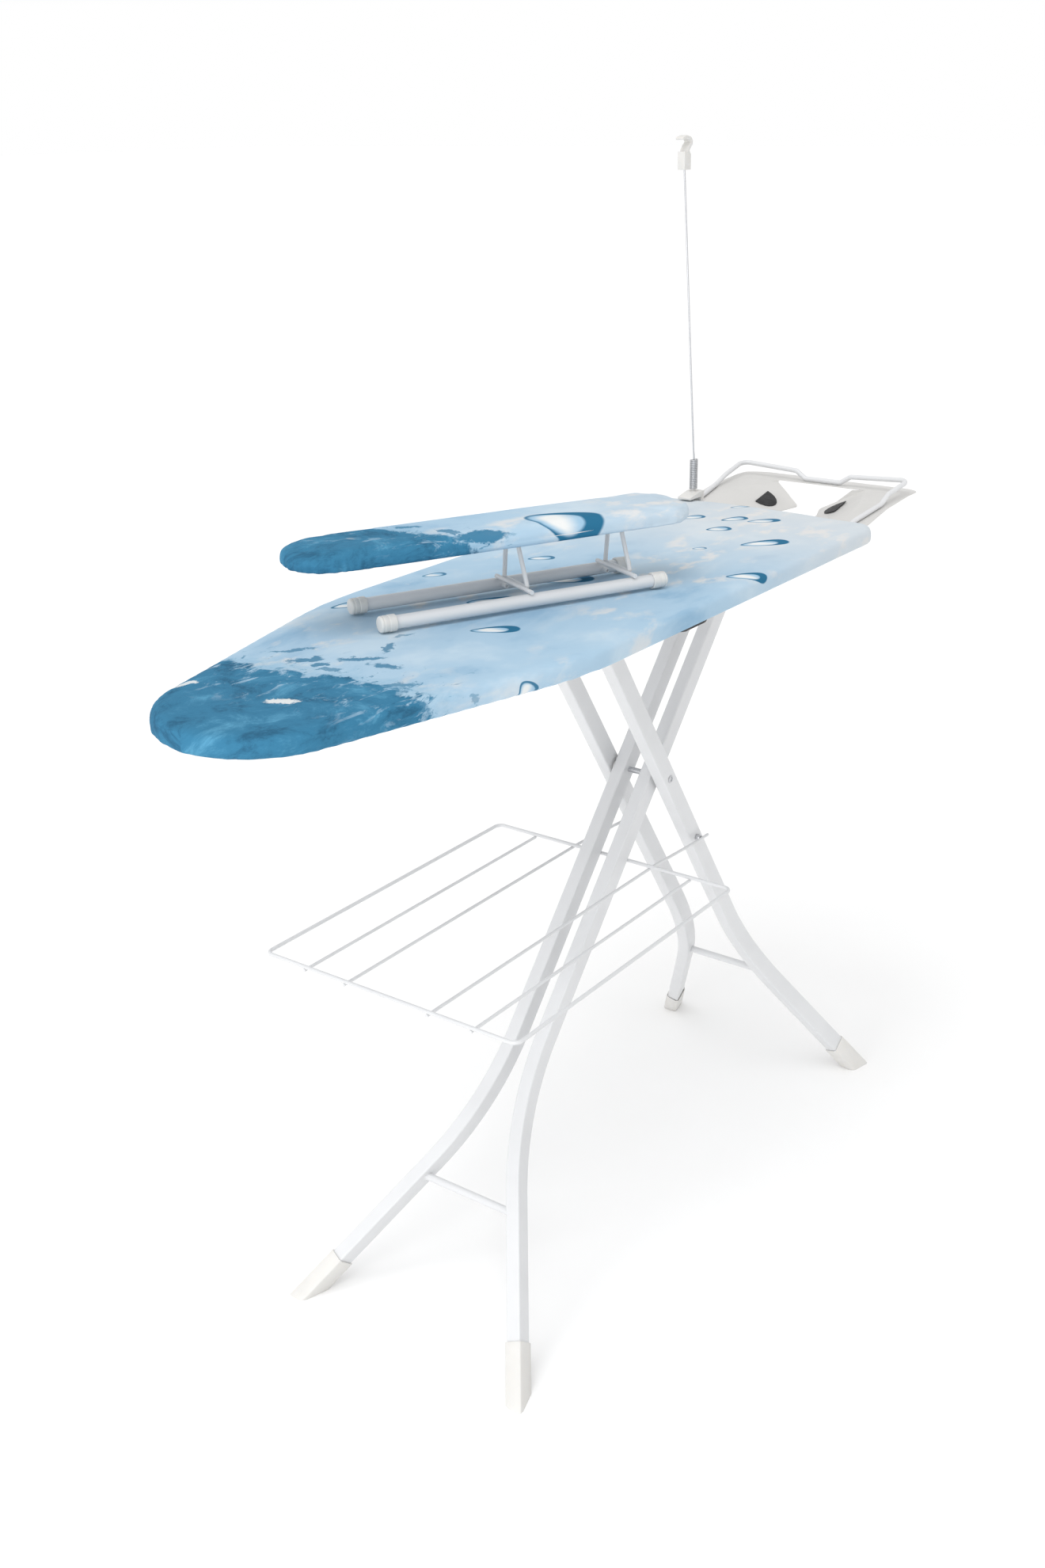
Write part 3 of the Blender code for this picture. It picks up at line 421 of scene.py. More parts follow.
def silicone(name):
    g = Graph(name)
    tint = g.ramp(g.noise(60.0, 3.0), [(0.3, (0.012, 0.012, 0.013)), (0.7, (0.028, 0.028, 0.030))])
    g.set(Base_Color=tint, Roughness=g.level(g.noise(300.0, 3.0), 0.3, 0.7, 0.5, 0.66),
          Normal=g.bump(g.noise(1600.0, 2.0), 0.00006, 0.6))
    return g.material


def padding(name):
    g = Graph(name)
    tint = g.ramp(g.noise(140.0, 5.0, 0.7), [(0.3, (0.66, 0.63, 0.55)), (0.7, (0.84, 0.81, 0.73))])
    g.set(Base_Color=tint, Roughness=0.95, Normal=g.bump(g.noise(700.0, 5.0, 0.75), 0.0005, 0.8))
    return g.material


# ---------------------------------------------------------------- the printed cotton
SKY = (0.395, 0.555, 0.690)
SKY_PALE = (0.510, 0.640, 0.740)
SKY_DEEP = (0.270, 0.440, 0.600)
CREAM = (0.720, 0.700, 0.680)
TEAL = (0.024, 0.110, 0.200)
TEAL_MID = (0.042, 0.190, 0.325)
TEAL_PALE = (0.100, 0.320, 0.490)
DROP_RIM = (0.022, 0.145, 0.265)
DROP_BODY = (0.270, 0.480, 0.660)
DROP_LIGHT = (0.800, 0.805, 0.790)
SMALL_DROP = 0.023


def flat_coords(g, origin, angle, top):
    """Object coordinates along the piece's own length, unrolled over its long edges."""
    shift = (origin[0], origin[1], top)
    shifted = g.node("VectorMath", {0: g.coords, 1: shift}, operation="SUBTRACT").outputs[0]
    turned = g.node("VectorRotate", {"Vector": shifted, "Angle": -angle}, rotation_type="Z_AXIS").outputs[0]
    parts = g.node("SeparateXYZ", {0: turned}).outputs
    drop = g.math("MINIMUM", parts[2], 0.0)
    unrolled = g.math("SUBTRACT", parts[1], g.math("MULTIPLY", g.math("SIGN", parts[1]), drop))
    return g.node("CombineXYZ", {0: parts[0], 1: unrolled, 2: drop}).outputs[0]


def mark_coords(g, coords, x, y, length, width, turn):
    """Coordinates in which a turned ellipse on the print is the unit circle."""
    moved = g.node("VectorMath", {0: coords, 1: (x, y, 0.0)}, operation="SUBTRACT").outputs[0]
    turned = g.node("VectorRotate", {"Vector": moved, "Angle": -math.radians(turn)},
                    rotation_type="Z_AXIS").outputs[0]
    return g.node("VectorMath", {0: turned, 1: (1.0 / length, 1.0 / width, 0.0)},
                  operation="MULTIPLY").outputs[0]


def add_drop(g, flat, colour, drop):
    """A water drop: a dark edge that is heavier on one side, a pale body and a light patch."""
    x, y, length, width, turn, strength = drop
    scaled = mark_coords(g, flat, x, y, length, width, turn)
    parts = g.node("SeparateXYZ", {0: scaled}).outputs
    taper = g.math("MULTIPLY_ADD", parts[0], -0.38)
    taper.node.inputs[2].default_value = 1.0
    squeezed = g.math("MULTIPLY", parts[1], taper)
    reach = g.math("SQRT", g.math("ADD", g.math("MULTIPLY", parts[0], parts[0]),
                                  g.math("MULTIPLY", squeezed, squeezed)))
    inside = g.level(reach, 1.05, 0.96)
    toward = g.math("ADD", g.math("MULTIPLY", parts[0], 0.85), g.math("MULTIPLY", squeezed, 0.45))
    thin, thick = (0.93, 0.46) if length > SMALL_DROP else (0.84, 0.70)
    rim_in = g.level(toward, -0.75, 0.85, thin, thick)
    rim = g.math("MULTIPLY", g.level(g.math("SUBTRACT", reach, rim_in), -0.10, 0.06), inside)
    light = g.math("MULTIPLY", g.level(reach, 0.86, 0.50), g.level(toward, 0.40, -0.15))
    body = g.mix(g.math("MULTIPLY", inside, 0.70 * strength), colour, DROP_BODY)
    lit = g.mix(g.math("MULTIPLY", light, 0.95 * strength), body, DROP_LIGHT)
    return g.mix(g.math("MULTIPLY", rim, strength), lit, DROP_RIM)


def add_stroke(g, wavy, colour, stroke, paint=TEAL_MID):
    """A brushed mark with a ragged edge."""
    x, y, length, width, turn, strength = stroke
    scaled = mark_coords(g, wavy, x, y, length, width, turn)
    reach = g.node("VectorMath", {0: scaled}, operation="LENGTH").outputs["Value"]
    return g.mix(g.level(reach, 1.15, 0.75, 0.0, strength), colour, paint)


def wavy_coords(g, flat):
    """The flat coordinates pushed about by a fine noise, for ragged outlines."""
    inputs = {"Vector": flat, "Scale": 60.0, "Detail": 5.0, "Roughness": 0.7}
    ripple = g.node("TexNoise", inputs).outputs["Color"]
    centred = g.node("VectorMath", {0: ripple, 1: (0.5, 0.5, 0.5)}, operation="SUBTRACT").outputs[0]
    small = g.node("VectorMath", {0: centred, "Scale": 0.034}, operation="SCALE").outputs[0]
    return g.node("VectorMath", {0: flat, 1: small}, operation="ADD").outputs[0]


def cloud_colour(g, flat, pale):
    """Light blue clouds with cream patches, paler toward the tail."""
    wide = g.node("VectorMath", {0: flat, 1: (1.0, 1.6, 1.0)}, operation="MULTIPLY").outputs[0]
    clouds = g.noise(6.0, 5.0, 0.55, wide, 0.35)
    sky = g.ramp(clouds, [(0.28, SKY_DEEP), (0.46, SKY), (0.68, SKY_PALE)])
    along = g.node("SeparateXYZ", {0: flat}).outputs[0]
    sky = g.mix(g.level(along, *pale), sky, CREAM)
    cream = g.math("MULTIPLY", g.level(g.noise(17.0, 5.0, 0.6, wide, 0.2), 0.50, 0.66),
                   g.level(g.noise(4.0, 3.0, 0.5, wide), 0.42, 0.62))
    return g.mix(g.math("MULTIPLY", cream, 0.80), sky, CREAM)


def nose_depth(g, flat, slant, ragged_size):
    """The place along the board, slanted across it and made ragged by two noises."""
    parts = g.node("SeparateXYZ", {0: flat}).outputs
    side = g.math("MULTIPLY", parts[1], slant)
    coarse = g.math("SUBTRACT", g.noise(15.0, 8.0, 0.66, flat, 0.6), 0.5)
    fine = g.math("SUBTRACT", g.noise(75.0, 5.0, 0.7, flat, 0.5), 0.5)
    ragged = g.math("MULTIPLY", coarse, ragged_size)
    slanted = g.math("ADD", g.math("ADD", parts[0], side), ragged)
    return g.math("ADD", slanted, g.math("MULTIPLY", fine, 0.030))


def nose_colour(g, flat, brushed, depth, edge_x):
    """Mottled dark teal, with sky showing through near its edge and a few pale specks."""
    blotch = g.noise(17.0, 9.0, 0.74, flat, 0.4)
    deep = g.ramp(blotch, [(0.34, TEAL), (0.52, TEAL_MID), (0.72, TEAL_PALE)])
    holes = g.level(g.noise(24.0, 6.0, 0.7, brushed, 0.8), 0.535, 0.655)
    edge_zone = g.level(depth, edge_x - 0.120, edge_x - 0.010)
    deep = g.mix(g.math("MULTIPLY", g.math("MULTIPLY", holes, edge_zone), 0.8), deep, SKY)
    specks = g.level(g.noise(19.0, 2.0, 0.5, flat, 0.2), 0.765, 0.800)
    return g.mix(g.math("MULTIPLY", specks, 0.8), deep, DROP_LIGHT)


def printed_cotton(name, origin, angle, top, nose, drops, strokes, pale, blots=()):
    """Light blue clouds, a dark teal nose with a brushed edge and pale blots, and water drops."""
    edge_x, slant, ragged_size = nose
    g = Graph(name)
    flat = flat_coords(g, origin, angle, top)
    colour = cloud_colour(g, flat, pale)
    depth = nose_depth(g, flat, slant, ragged_size)
    halo = g.level(depth, edge_x + 0.045, edge_x - 0.010)
    colour = g.mix(g.math("MULTIPLY", halo, 0.35), colour, TEAL_PALE)
    wavy = wavy_coords(g, flat)
    for stroke in strokes:
        colour = add_stroke(g, wavy, colour, stroke)
    brushed = g.node("VectorMath", {0: flat, 1: (1.0, 2.2, 1.0)}, operation="MULTIPLY").outputs[0]
    flecks = g.level(g.noise(42.0, 6.0, 0.66, brushed, 1.0), 0.610, 0.650)
    near_edge = g.math("MULTIPLY", g.level(depth, edge_x + 0.090, edge_x + 0.020), flecks)
    colour = g.mix(g.math("MULTIPLY", near_edge, 0.75), colour, TEAL_MID)
    dark = g.level(depth, edge_x + 0.005, edge_x - 0.007)
    colour = g.mix(dark, colour, nose_colour(g, flat, brushed, depth, edge_x))
    for blot in blots:
        colour = add_stroke(g, wavy, colour, blot, DROP_LIGHT)
    for drop in drops:
        colour = add_drop(g, flat, colour, drop)
    weave = g.bump(g.noise(1500.0, 2.0, 0.6), 0.00012, 0.5)
    creases = g.bump(g.noise(24.0, 4.0, 0.55, None, 0.4), 0.0014, 0.40, weave)
    g.set(Base_Color=colour, Roughness=0.92, Normal=creases, Specular_IOR_Level=0.15)
    return g.material


# Marks on the print: x, y, half length, half width, turn in degrees, strength.
BOARD_DROPS = [
    (0.236, -0.118, 0.034, 0.0135, -38.0, 1.0), (0.082, -0.180, 0.030, 0.0125, -42.0, 1.0),
    (0.273, -0.027, 0.018, 0.0105, -40.0, 0.95), (0.336, -0.016, 0.021, 0.0095, -30.0, 0.95),
    (0.349, -0.056, 0.024, 0.0090, -44.0, 0.95), (0.315, 0.038, 0.018, 0.0095, -30.0, 0.9),
    (0.410, 0.016, 0.016, 0.0060, -30.0, 0.8), (-0.278, -0.057, 0.028, 0.0120, -47.0, 1.0),
    (-0.184, 0.014, 0.034, 0.0150, -45.0, 1.0), (-0.376, -0.196, 0.017, 0.0110, -60.0, 0.9),
    (-0.060, -0.004, 0.034, 0.0140, -42.0, 1.0), (-0.294, 0.150, 0.020, 0.0110, -25.0, 0.95),
    (0.010, 0.085, 0.018, 0.0090, -40.0, 0.85), (0.150, 0.110, 0.022, 0.0100, -35.0, 0.9),
    (0.225, 0.155, 0.016, 0.0080, -50.0, 0.85), (-0.130, 0.150, 0.016, 0.0080, -30.0, 0.85),
    (0.165, -0.060, 0.010, 0.0055, -40.0, 0.7), (-0.010, -0.095, 0.011, 0.0055, -40.0, 0.6),
]
BOARD_STROKES = [
    (-0.460, 0.082, 0.026, 0.0050, -35.0, 0.75), (-0.475, 0.046, 0.020, 0.0070, -50.0, 0.85),
    (-0.481, 0.022, 0.012, 0.0055, -50.0, 0.85), (-0.487, 0.003, 0.014, 0.0045, -60.0, 0.7),
    (-0.441, -0.004, 0.026, 0.0075, -50.0, 0.85), (-0.446, -0.040, 0.019, 0.0080, -75.0, 0.85),
    (-0.398, -0.001, 0.020, 0.0055, 20.0, 0.8), (-0.350, 0.012, 0.016, 0.0040, -20.0, 0.55),
    (-0.486, -0.188, 0.010, 0.0060, 10.0, 0.75), (-0.469, -0.186, 0.010, 0.0050, 10.0, 0.7),
    (-0.442, -0.170, 0.006, 0.0040, -40.0, 0.5), (-0.484, -0.092, 0.018, 0.0060, -50.0, 0.7),
    (-0.512, -0.150, 0.026, 0.0150, -60.0, 0.85),
]
BOARD_BLOTS = [(-0.589, -0.027, 0.017, 0.0075, -55.0, 0.85), (-0.604, 0.099, 0.014, 0.0080, -40.0, 0.8)]
# The dark nose: x of its edge, slant across the board, raggedness.
BOARD_NOSE = (-0.512, 0.13, 0.16)
SLEEVE_NOSE = (0.053, 0.90, 0.12)
# The paler tail: x where it starts and ends, share of cream at each.
BOARD_PALE = (-0.05, 0.42, 0.0, 0.60)
SLEEVE_PALE = (0.15, 0.42, 0.0, 0.35)
SLEEVE_STROKES = [(0.128, -0.050, 0.038, 0.0110, -6.0, 0.95), (0.068, 0.018, 0.018, 0.0050, -20.0, 0.8),
                  (0.098, -0.022, 0.016, 0.0070, -60.0, 0.8)]
SLEEVE_DROPS = [(0.240, -0.040, 0.048, 0.032, -38.0, 1.0), (-0.008, 0.002, 0.010, 0.006, -30.0, 0.2)]


# ---------------------------------------------------------------- shape helpers
def link(obj):
    bpy.context.scene.collection.objects.link(obj)
    return obj


def fillet(points, radii, step_degrees=6.0, closed=True):
    """The path through the points, with each corner rounded to its radius."""
    path = []
    count = len(points)
    for index, point in enumerate(points):
        radius = radii[index]
        at_end = not closed and index in (0, count - 1)
        if at_end or radius <= 0.0:
            path.append(Vector(point))
            continue
        corner = Vector(point)
        back = (Vector(points[index - 1]) - corner).normalized()
        ahead = (Vector(points[(index + 1) % count]) - corner).normalized()
        opening = back.angle(ahead)
        turn = math.pi - opening
        centre = corner + (back + ahead).normalized() * radius / math.sin(opening / 2.0)
        start = corner + back * radius * math.tan(turn / 2.0) - centre
        end = corner + ahead * radius * math.tan(turn / 2.0) - centre
        steps = max(2, math.ceil(math.degrees(turn) / step_degrees))
        for step in range(steps + 1):
            share = step / steps
            blend = start * math.sin((1.0 - share) * turn) + end * math.sin(share * turn)
            path.append(centre + blend / math.sin(turn))
    return path


def poly_curve(name, loops, closed, dimensions="3D"):
    data = bpy.data.curves.new(name, "CURVE")
    data.dimensions = dimensions
    for loop in loops:
        spline = data.splines.new("POLY")
        spline.points.add(len(loop) - 1)
        for target, point in zip(spline.points, loop):
            target.co = (*Vector(point).to_3d(), 1.0)
        spline.use_cyclic_u = closed
        spline.use_smooth = True
    return data


def to_mesh(obj):
    """The evaluated, welded mesh of an object, in a new mesh object of the same name."""
    bpy.context.view_layer.update()
    graph = bpy.context.evaluated_depsgraph_get()
    mesh = bpy.data.meshes.new_from_object(obj.evaluated_get(graph))
    work = bmesh.new()
    work.from_mesh(mesh)
    bmesh.ops.remove_doubles(work, verts=work.verts, dist=0.00001)
    bmesh.ops.recalc_face_normals(work, faces=work.faces)
    work.to_mesh(mesh)
    work.free()
    name, place = obj.name, obj.matrix_world.copy()
    bpy.data.objects.remove(obj, do_unlink=True)
    made = link(bpy.data.objects.new(name, mesh))
    made.matrix_world = place
    return made


def smooth(obj, angle=35.0):
    obj.data.shade_smooth()
    obj.data.set_sharp_from_angle(angle=math.radians(angle))
    return obj


def dress(obj, look, body, *nodes, slot=None):
    """Gives a piece its material, its body, and the CAD nodes that it stands for."""
    obj.data.materials.clear()
    obj.data.materials.append(look)
    if nodes:
        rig.replaces(obj, *nodes)
    if slot:
        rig.slot(obj, slot)
    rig.ride(obj, body)


def wire(name, path, radius, closed=False, resolution=4):
    data = poly_curve(name, [path], closed)
    data.bevel_depth = radius
    data.bevel_resolution = resolution
    data.use_fill_caps = not closed
    return smooth(to_mesh(link(bpy.data.objects.new(name, data))), 50.0)


# ---------------------------------------------------------------- refined copies of CAD nodes
def refine(name, look, width=0.0006, segments=2, angle=35.0):
    """A copy of a CAD node with its flat facets merged and its edges rounded."""
    source = NODES[name]
    work = bmesh.new()
    work.from_mesh(source.data)
    bmesh.ops.remove_doubles(work, verts=work.verts, dist=0.000005)
    bmesh.ops.dissolve_limit(work, angle_limit=math.radians(1.5), verts=work.verts, edges=work.edges)
    mesh = bpy.data.meshes.new(name + "_fine")
    work.to_mesh(mesh)
    work.free()
    piece = link(bpy.data.objects.new(name + "_fine", mesh))
    edge = piece.modifiers.new("edges", "BEVEL")
    edge.width = width
    edge.segments = segments
    edge.limit_method = "ANGLE"
    edge.angle_limit = math.radians(angle)
    edge.use_clamp_overlap = True
    piece = smooth(to_mesh(piece), 30.0)
    dress(piece, look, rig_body(name), name, slot=SLOTS[name])


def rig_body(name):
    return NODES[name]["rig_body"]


def stand_for(piece, look, *names):
    dress(piece, look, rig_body(names[0]), *names, slot=SLOTS[names[0]])


def lathe(name, profile, point, direction, steps=40):
    """A profile of (radius, height) pairs turned about a direction through a point."""
    mesh = bpy.data.meshes.new(name)
    work = bmesh.new()
    rings = []
    for radius, height in profile:
        if radius <= 0.0:
            rings.append([work.verts.new((0.0, 0.0, height))])
        else:
            rings.append([work.verts.new((radius * math.cos(math.tau * i / steps),
                                          radius * math.sin(math.tau * i / steps), height))
                          for i in range(steps)])
    closing = [] if profile[0][0] <= 0.0 else [(rings[-1], rings[0])]
    for upper, lower in list(zip(rings, rings[1:])) + closing:
        for i in range(steps):
            j = (i + 1) % steps
            corners = [upper[i % len(upper)], upper[j % len(upper)],
                       lower[j % len(lower)], lower[i % len(lower)]]
            kept = [c for k, c in enumerate(corners) if c not in corners[:k]]
            if len(kept) > 2:
                work.faces.new(kept)
    bmesh.ops.recalc_face_normals(work, faces=work.faces)
    work.to_mesh(mesh)
    work.free()
    piece = link(bpy.data.objects.new(name, mesh))
    turn = Vector((0.0, 0.0, 1.0)).rotation_difference(Vector(direction)).to_matrix().to_4x4()
    piece.matrix_world = Matrix.Translation(point) @ turn
    return smooth(piece, 32.0)


def rounded(profile, radius=0.0006):
    """A lathe profile with its outside corners eased."""
    eased = [profile[0]]
    for before, here, after in zip(profile, profile[1:], profile[2:]):
        a, b, c = (Vector((*p, 0.0)) for p in (before, here, after))
        reach = min(radius, (a - b).length * 0.4, (c - b).length * 0.4)
        if here[0] <= 0.0 or reach < 0.00005:
            eased.append(here)
            continue
        first = b + (a - b).normalized() * reach
        last = b + (c - b).normalized() * reach
        middle = (first + last) / 4.0 + b / 2.0
        eased += [(first.x, first.y), (middle.x, middle.y), (last.x, last.y)]
    eased.append(profile[-1])
    return eased


# ---------------------------------------------------------------- padded, printed covers
def board_loop(inset):
    taper = math.atan(NOSE_TAPER)
    apex_x = NOSE_X + NOSE_RADIUS - (NOSE_RADIUS - inset) / math.sin(taper)
    half = HALF_WIDTH - inset
    knee_x = apex_x + half / NOSE_TAPER
    tail_x = TAIL_X - inset
    bow = TAIL_BOW * half / HALF_WIDTH
    corners = [(apex_x, 0.0), (knee_x, -half), (tail_x - bow, -half), (tail_x, 0.0), (tail_x - bow, half),
               (knee_x, half)]
    corner = TAIL_RADIUS - inset
    radii = [NOSE_RADIUS - inset, KNEE_RADIUS, corner, TAIL_BOW_RADIUS, corner, KNEE_RADIUS]
    return fillet(corners, radii, 4.0)


def sleeve_loop(inset):
    nose, tail = SLEEVE_X
    wide_start, wide_end = SLEEVE_WIDE
    half = SLEEVE_HALF - inset
    nose_half = SLEEVE_NOSE_HALF - inset
    tail_half = SLEEVE_TAIL_HALF - inset
    corners = [(nose + inset, nose_half), (nose + inset, -nose_half), (wide_start, -half), (wide_end, -half),
               (tail - inset, -tail_half), (tail - inset, tail_half), (wide_end, half), (wide_start, half)]
    nose_radius = SLEEVE_NOSE_RADIUS - inset
    tail_radius = SLEEVE_TAIL_RADIUS - inset
    side = SLEEVE_SIDE_RADIUS
    return fillet(corners, [nose_radius, nose_radius, side, side, tail_radius, tail_radius, side, side], 5.0)


def slab(name, loop, profile):
    """A closed solid whose rim follows a profile of (inset, height) pairs, from below to the top."""
    mesh = bpy.data.meshes.new(name)
    work = bmesh.new()
    rings = [[work.verts.new((p.x, p.y, z)) for p in loop(inset)] for inset, z in profile]
    count = len(rings[0])
    for lower, upper in zip(rings, rings[1:]):
        for i in range(count):
            j = (i + 1) % count
            work.faces.new((lower[i], lower[j], upper[j], upper[i]))
    work.faces.new(rings[0][::-1])
    work.faces.new(rings[-1])
    bmesh.ops.triangulate(work, faces=work.faces)
    bmesh.ops.recalc_face_normals(work, faces=work.faces)
    work.to_mesh(mesh)
    work.free()
    return link(bpy.data.objects.new(name, mesh))


class Rim:
    """Distance inwards from an outline, distance round it, and the way out, for any point."""

    def __init__(self, loop):
        self.points = [Vector((p.x, p.y)) for p in loop]
        self.lengths = [0.0]
        for a, b in zip(self.points, self.points[1:] + self.points[:1]):
            self.lengths.append(self.lengths[-1] + (b - a).length)

    def locate(self, x, y):
        here = Vector((x, y))
        best = None
        count = len(self.points)
        for i in range(count):
            a, b = self.points[i], self.points[(i + 1) % count]
            edge = b - a
            share = min(1.0, max(0.0, (here - a).dot(edge) / edge.length_squared))
            foot = a + edge * share
            gap = (here - foot).length
            if best is None or gap < best[0]:
                out = Vector((edge.y, -edge.x)).normalized()
                best = (gap, self.lengths[i] + edge.length * share, out)
        return best


CLOTH_FRAMES = 20
CLOTH_THICKNESS = 0.0007
BOARD_COVER_DROP = 0.0022


def inflate(piece, pressure, swell, pinned_below):
    """Swells a remeshed solid with a cloth simulation and caps how far it moves."""
    start = [v.co.copy() for v in piece.data.vertices]
    group = piece.vertex_groups.new(name="pinned")
    group.add([i for i, co in enumerate(start) if co.z < pinned_below], 1.0, "ADD")
    cloth = piece.modifiers.new("cloth", "CLOTH")
    cloth.settings.quality = 4
    cloth.settings.mass = 0.12
    cloth.settings.tension_stiffness = 20.0
    cloth.settings.compression_stiffness = 20.0
    cloth.settings.shear_stiffness = 8.0
    cloth.settings.bending_stiffness = 0.8
    cloth.settings.use_pressure = True
    cloth.settings.uniform_pressure_force = pressure
    cloth.settings.vertex_group_mass = "pinned"
    cloth.settings.effector_weights.gravity = 0.0
    cloth.collision_settings.use_collision = False
    cloth.point_cache.frame_start = 1
    cloth.point_cache.frame_end = CLOTH_FRAMES
    scene = bpy.context.scene
    for step in range(1, CLOTH_FRAMES + 1):
        scene.frame_set(step)
    graph = bpy.context.evaluated_depsgraph_get()
    moved = [v.co.copy() for v in piece.evaluated_get(graph).data.vertices]
    piece.modifiers.remove(cloth)
    scene.frame_set(1)
    for vertex, before, after in zip(piece.data.vertices, start, moved):
        step = after - before
        limit = swell * (0.72 + 0.28 * noise.noise(before * 11.0))
        if step.length > limit:
            step = step.normalized() * limit
        vertex.co = before + step


def gather_hem(piece, loop, low, top, gathers, hem):
    """Folds a cover's sides toward its ends, and opens it below, inside the hem."""
    rim = Rim(loop(0.0))
    work = bmesh.new()
    work.from_mesh(piece.data)
    deep = set()
    for vertex in work.verts:
        x, y, z = vertex.co
        if z > top - 0.004:
            continue
        gap, along, out = rim.locate(x, y)
        if z < low + 0.0025 and gap > hem:
            deep.add(vertex)
            continue
        fall = min(1.0, max(0.0, (top - 0.002 - z) / (top - low)))
        for start, end, size, pitch in gathers:
            share = min(1.0, max(0.0, (x - start) / (end - start)))
            share = share * share * (3.0 - 2.0 * share)
            phase = along / pitch + 1.3 * noise.noise(Vector((along * 30.0, 0.0, 0.0)))
            fold = math.sin(math.tau * phase) * (0.6 + 0.4 * noise.noise(Vector((along * 55.0, 7.0, 0.0))))
            shift = size * share * fall * (fold + 0.55)
            vertex.co += Vector((out.x, out.y, 0.0)) * shift
    hidden = [f for f in work.faces if all(v in deep for v in f.verts)]
    bmesh.ops.delete(work, geom=hidden, context="FACES")
    work.to_mesh(piece.data)
    work.free()


def soft_cover(name, loop, profile, voxel, swell, gathers, hem, place, look, body, nodes):
    """A cotton cover over its padding: swollen by simulation, gathered at the ends, open below."""
    piece = slab(name, loop, profile)
    shape = piece.modifiers.new("even", "REMESH")
    shape.mode = "VOXEL"
    shape.voxel_size = voxel
    piece = to_mesh(piece)
    low = profile[1][1]
    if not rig.quick():
        inflate(piece, 4.0, swell, low + 0.0012)
    gather_hem(piece, loop, low, profile[-1][1], gathers, hem)
    finer = piece.modifiers.new("finer", "SUBSURF")
    finer.levels = 1
    finer.render_levels = 1
    skin = piece.modifiers.new("skin", "SOLIDIFY")
    skin.thickness = CLOTH_THICKNESS
    skin.offset = -1.0
    piece = to_mesh(piece)
    piece.data.transform(place)
    piece.data.shade_smooth()
    dress(piece, look, body, *nodes, slot="cotton_cover")
    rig.padded(piece, fill=0.5)


# Each gather: x where it starts, x where it is full, size of its folds, distance between them.
def make_covers():
    low, top = COVER_LOW - BOARD_COVER_DROP, COVER_TOP - BOARD_COVER_DROP
    profile = [(0.022, low), (0.004, low), (0.0000, low + 0.0012), (-0.0014, low + 0.005),
               (-0.0014, top - 0.0085), (0.0000, top - 0.0045), (0.0030, top - 0.0018),
               (0.0076, top - 0.0005), (0.0140, top)]
    gathers = [(-0.48, -0.62, 0.0011, 0.019), (0.30, 0.40, 0.0008, 0.024)]
    soft_cover("board_cover_soft", board_loop, profile, 0.0055, 0.0018, gathers, 0.013, Matrix.Identity(4),
               PRINT, "board", ("board_cover", "foam_pad"))
    low, top = SLEEVE_LOW + 0.0006, SLEEVE_TOP - 0.0030
    profile = [(0.018, low), (0.006, low), (0.0022, low + 0.0020), (0.0008, low + 0.006),
               (0.0010, top - 0.0090), (0.0030, top - 0.0046), (0.0075, top - 0.0016),
               (0.0140, top - 0.0004), (0.0220, top)]
    gathers = [(0.04, -0.06, 0.0036, 0.0115), (0.27, 0.36, 0.0014, 0.0155)]
    soft_cover("sleeve_cover_soft", sleeve_loop, profile, 0.0036, 0.0028, gathers, 0.012, SLEEVE,
               SLEEVE_PRINT, "sleeve_top", ("sleeve_cover", "sleeve_pad"))


# ---------------------------------------------------------------- leg frames
# Each frame: x of its feet, y of its tubes above, y of its feet, slope of the flare.
LEGS = {"inner": (-0.418, 0.0216, 0.1737, 0.63), "outer": (0.517, 0.0445, 0.1738, 0.507)}
TUBE_END_Z = 0.022
TUBE_SPARE = 0.012
BLEND = 0.08
TUBE_HALF_WIDTH = 0.0095
TUBE_HALF_DEPTH = 0.0135
TUBE_CORNER = 0.0025
CROSSBAR_RADIUS = 0.0052


def leg_line(kind, side):
    """The centre line of a tube in the world, from its top end to its foot."""
    foot_x, gap, foot_y, flare = LEGS[kind]
    down = Vector((foot_x - PIVOT.x, 0.0, -PIVOT.z)).normalized()
    across = Vector((0.0, 1.0, 0.0))
    place = Matrix.Translation(PIVOT) @ Matrix((down, across, down.cross(across))).transposed().to_4x4()
    slope = flare * -down.z
    knee = (PIVOT.z - (foot_y - gap) / flare) / -down.z
    radius = BLEND / -down.z / math.tan(math.atan(slope) / 2.0)
    top = (PIVOT.z - HINGE_Z) / -down.z - TUBE_SPARE
    end = (PIVOT.z - TUBE_END_Z) / -down.z
    path = [Vector((top, side * gap, 0.0)), Vector((knee, side * gap, 0.0)),
            Vector((end, side * (gap + (end - knee) * slope), 0.0))]
    return fillet(path, [0.0, radius, 0.0], 1.2, closed=False), place


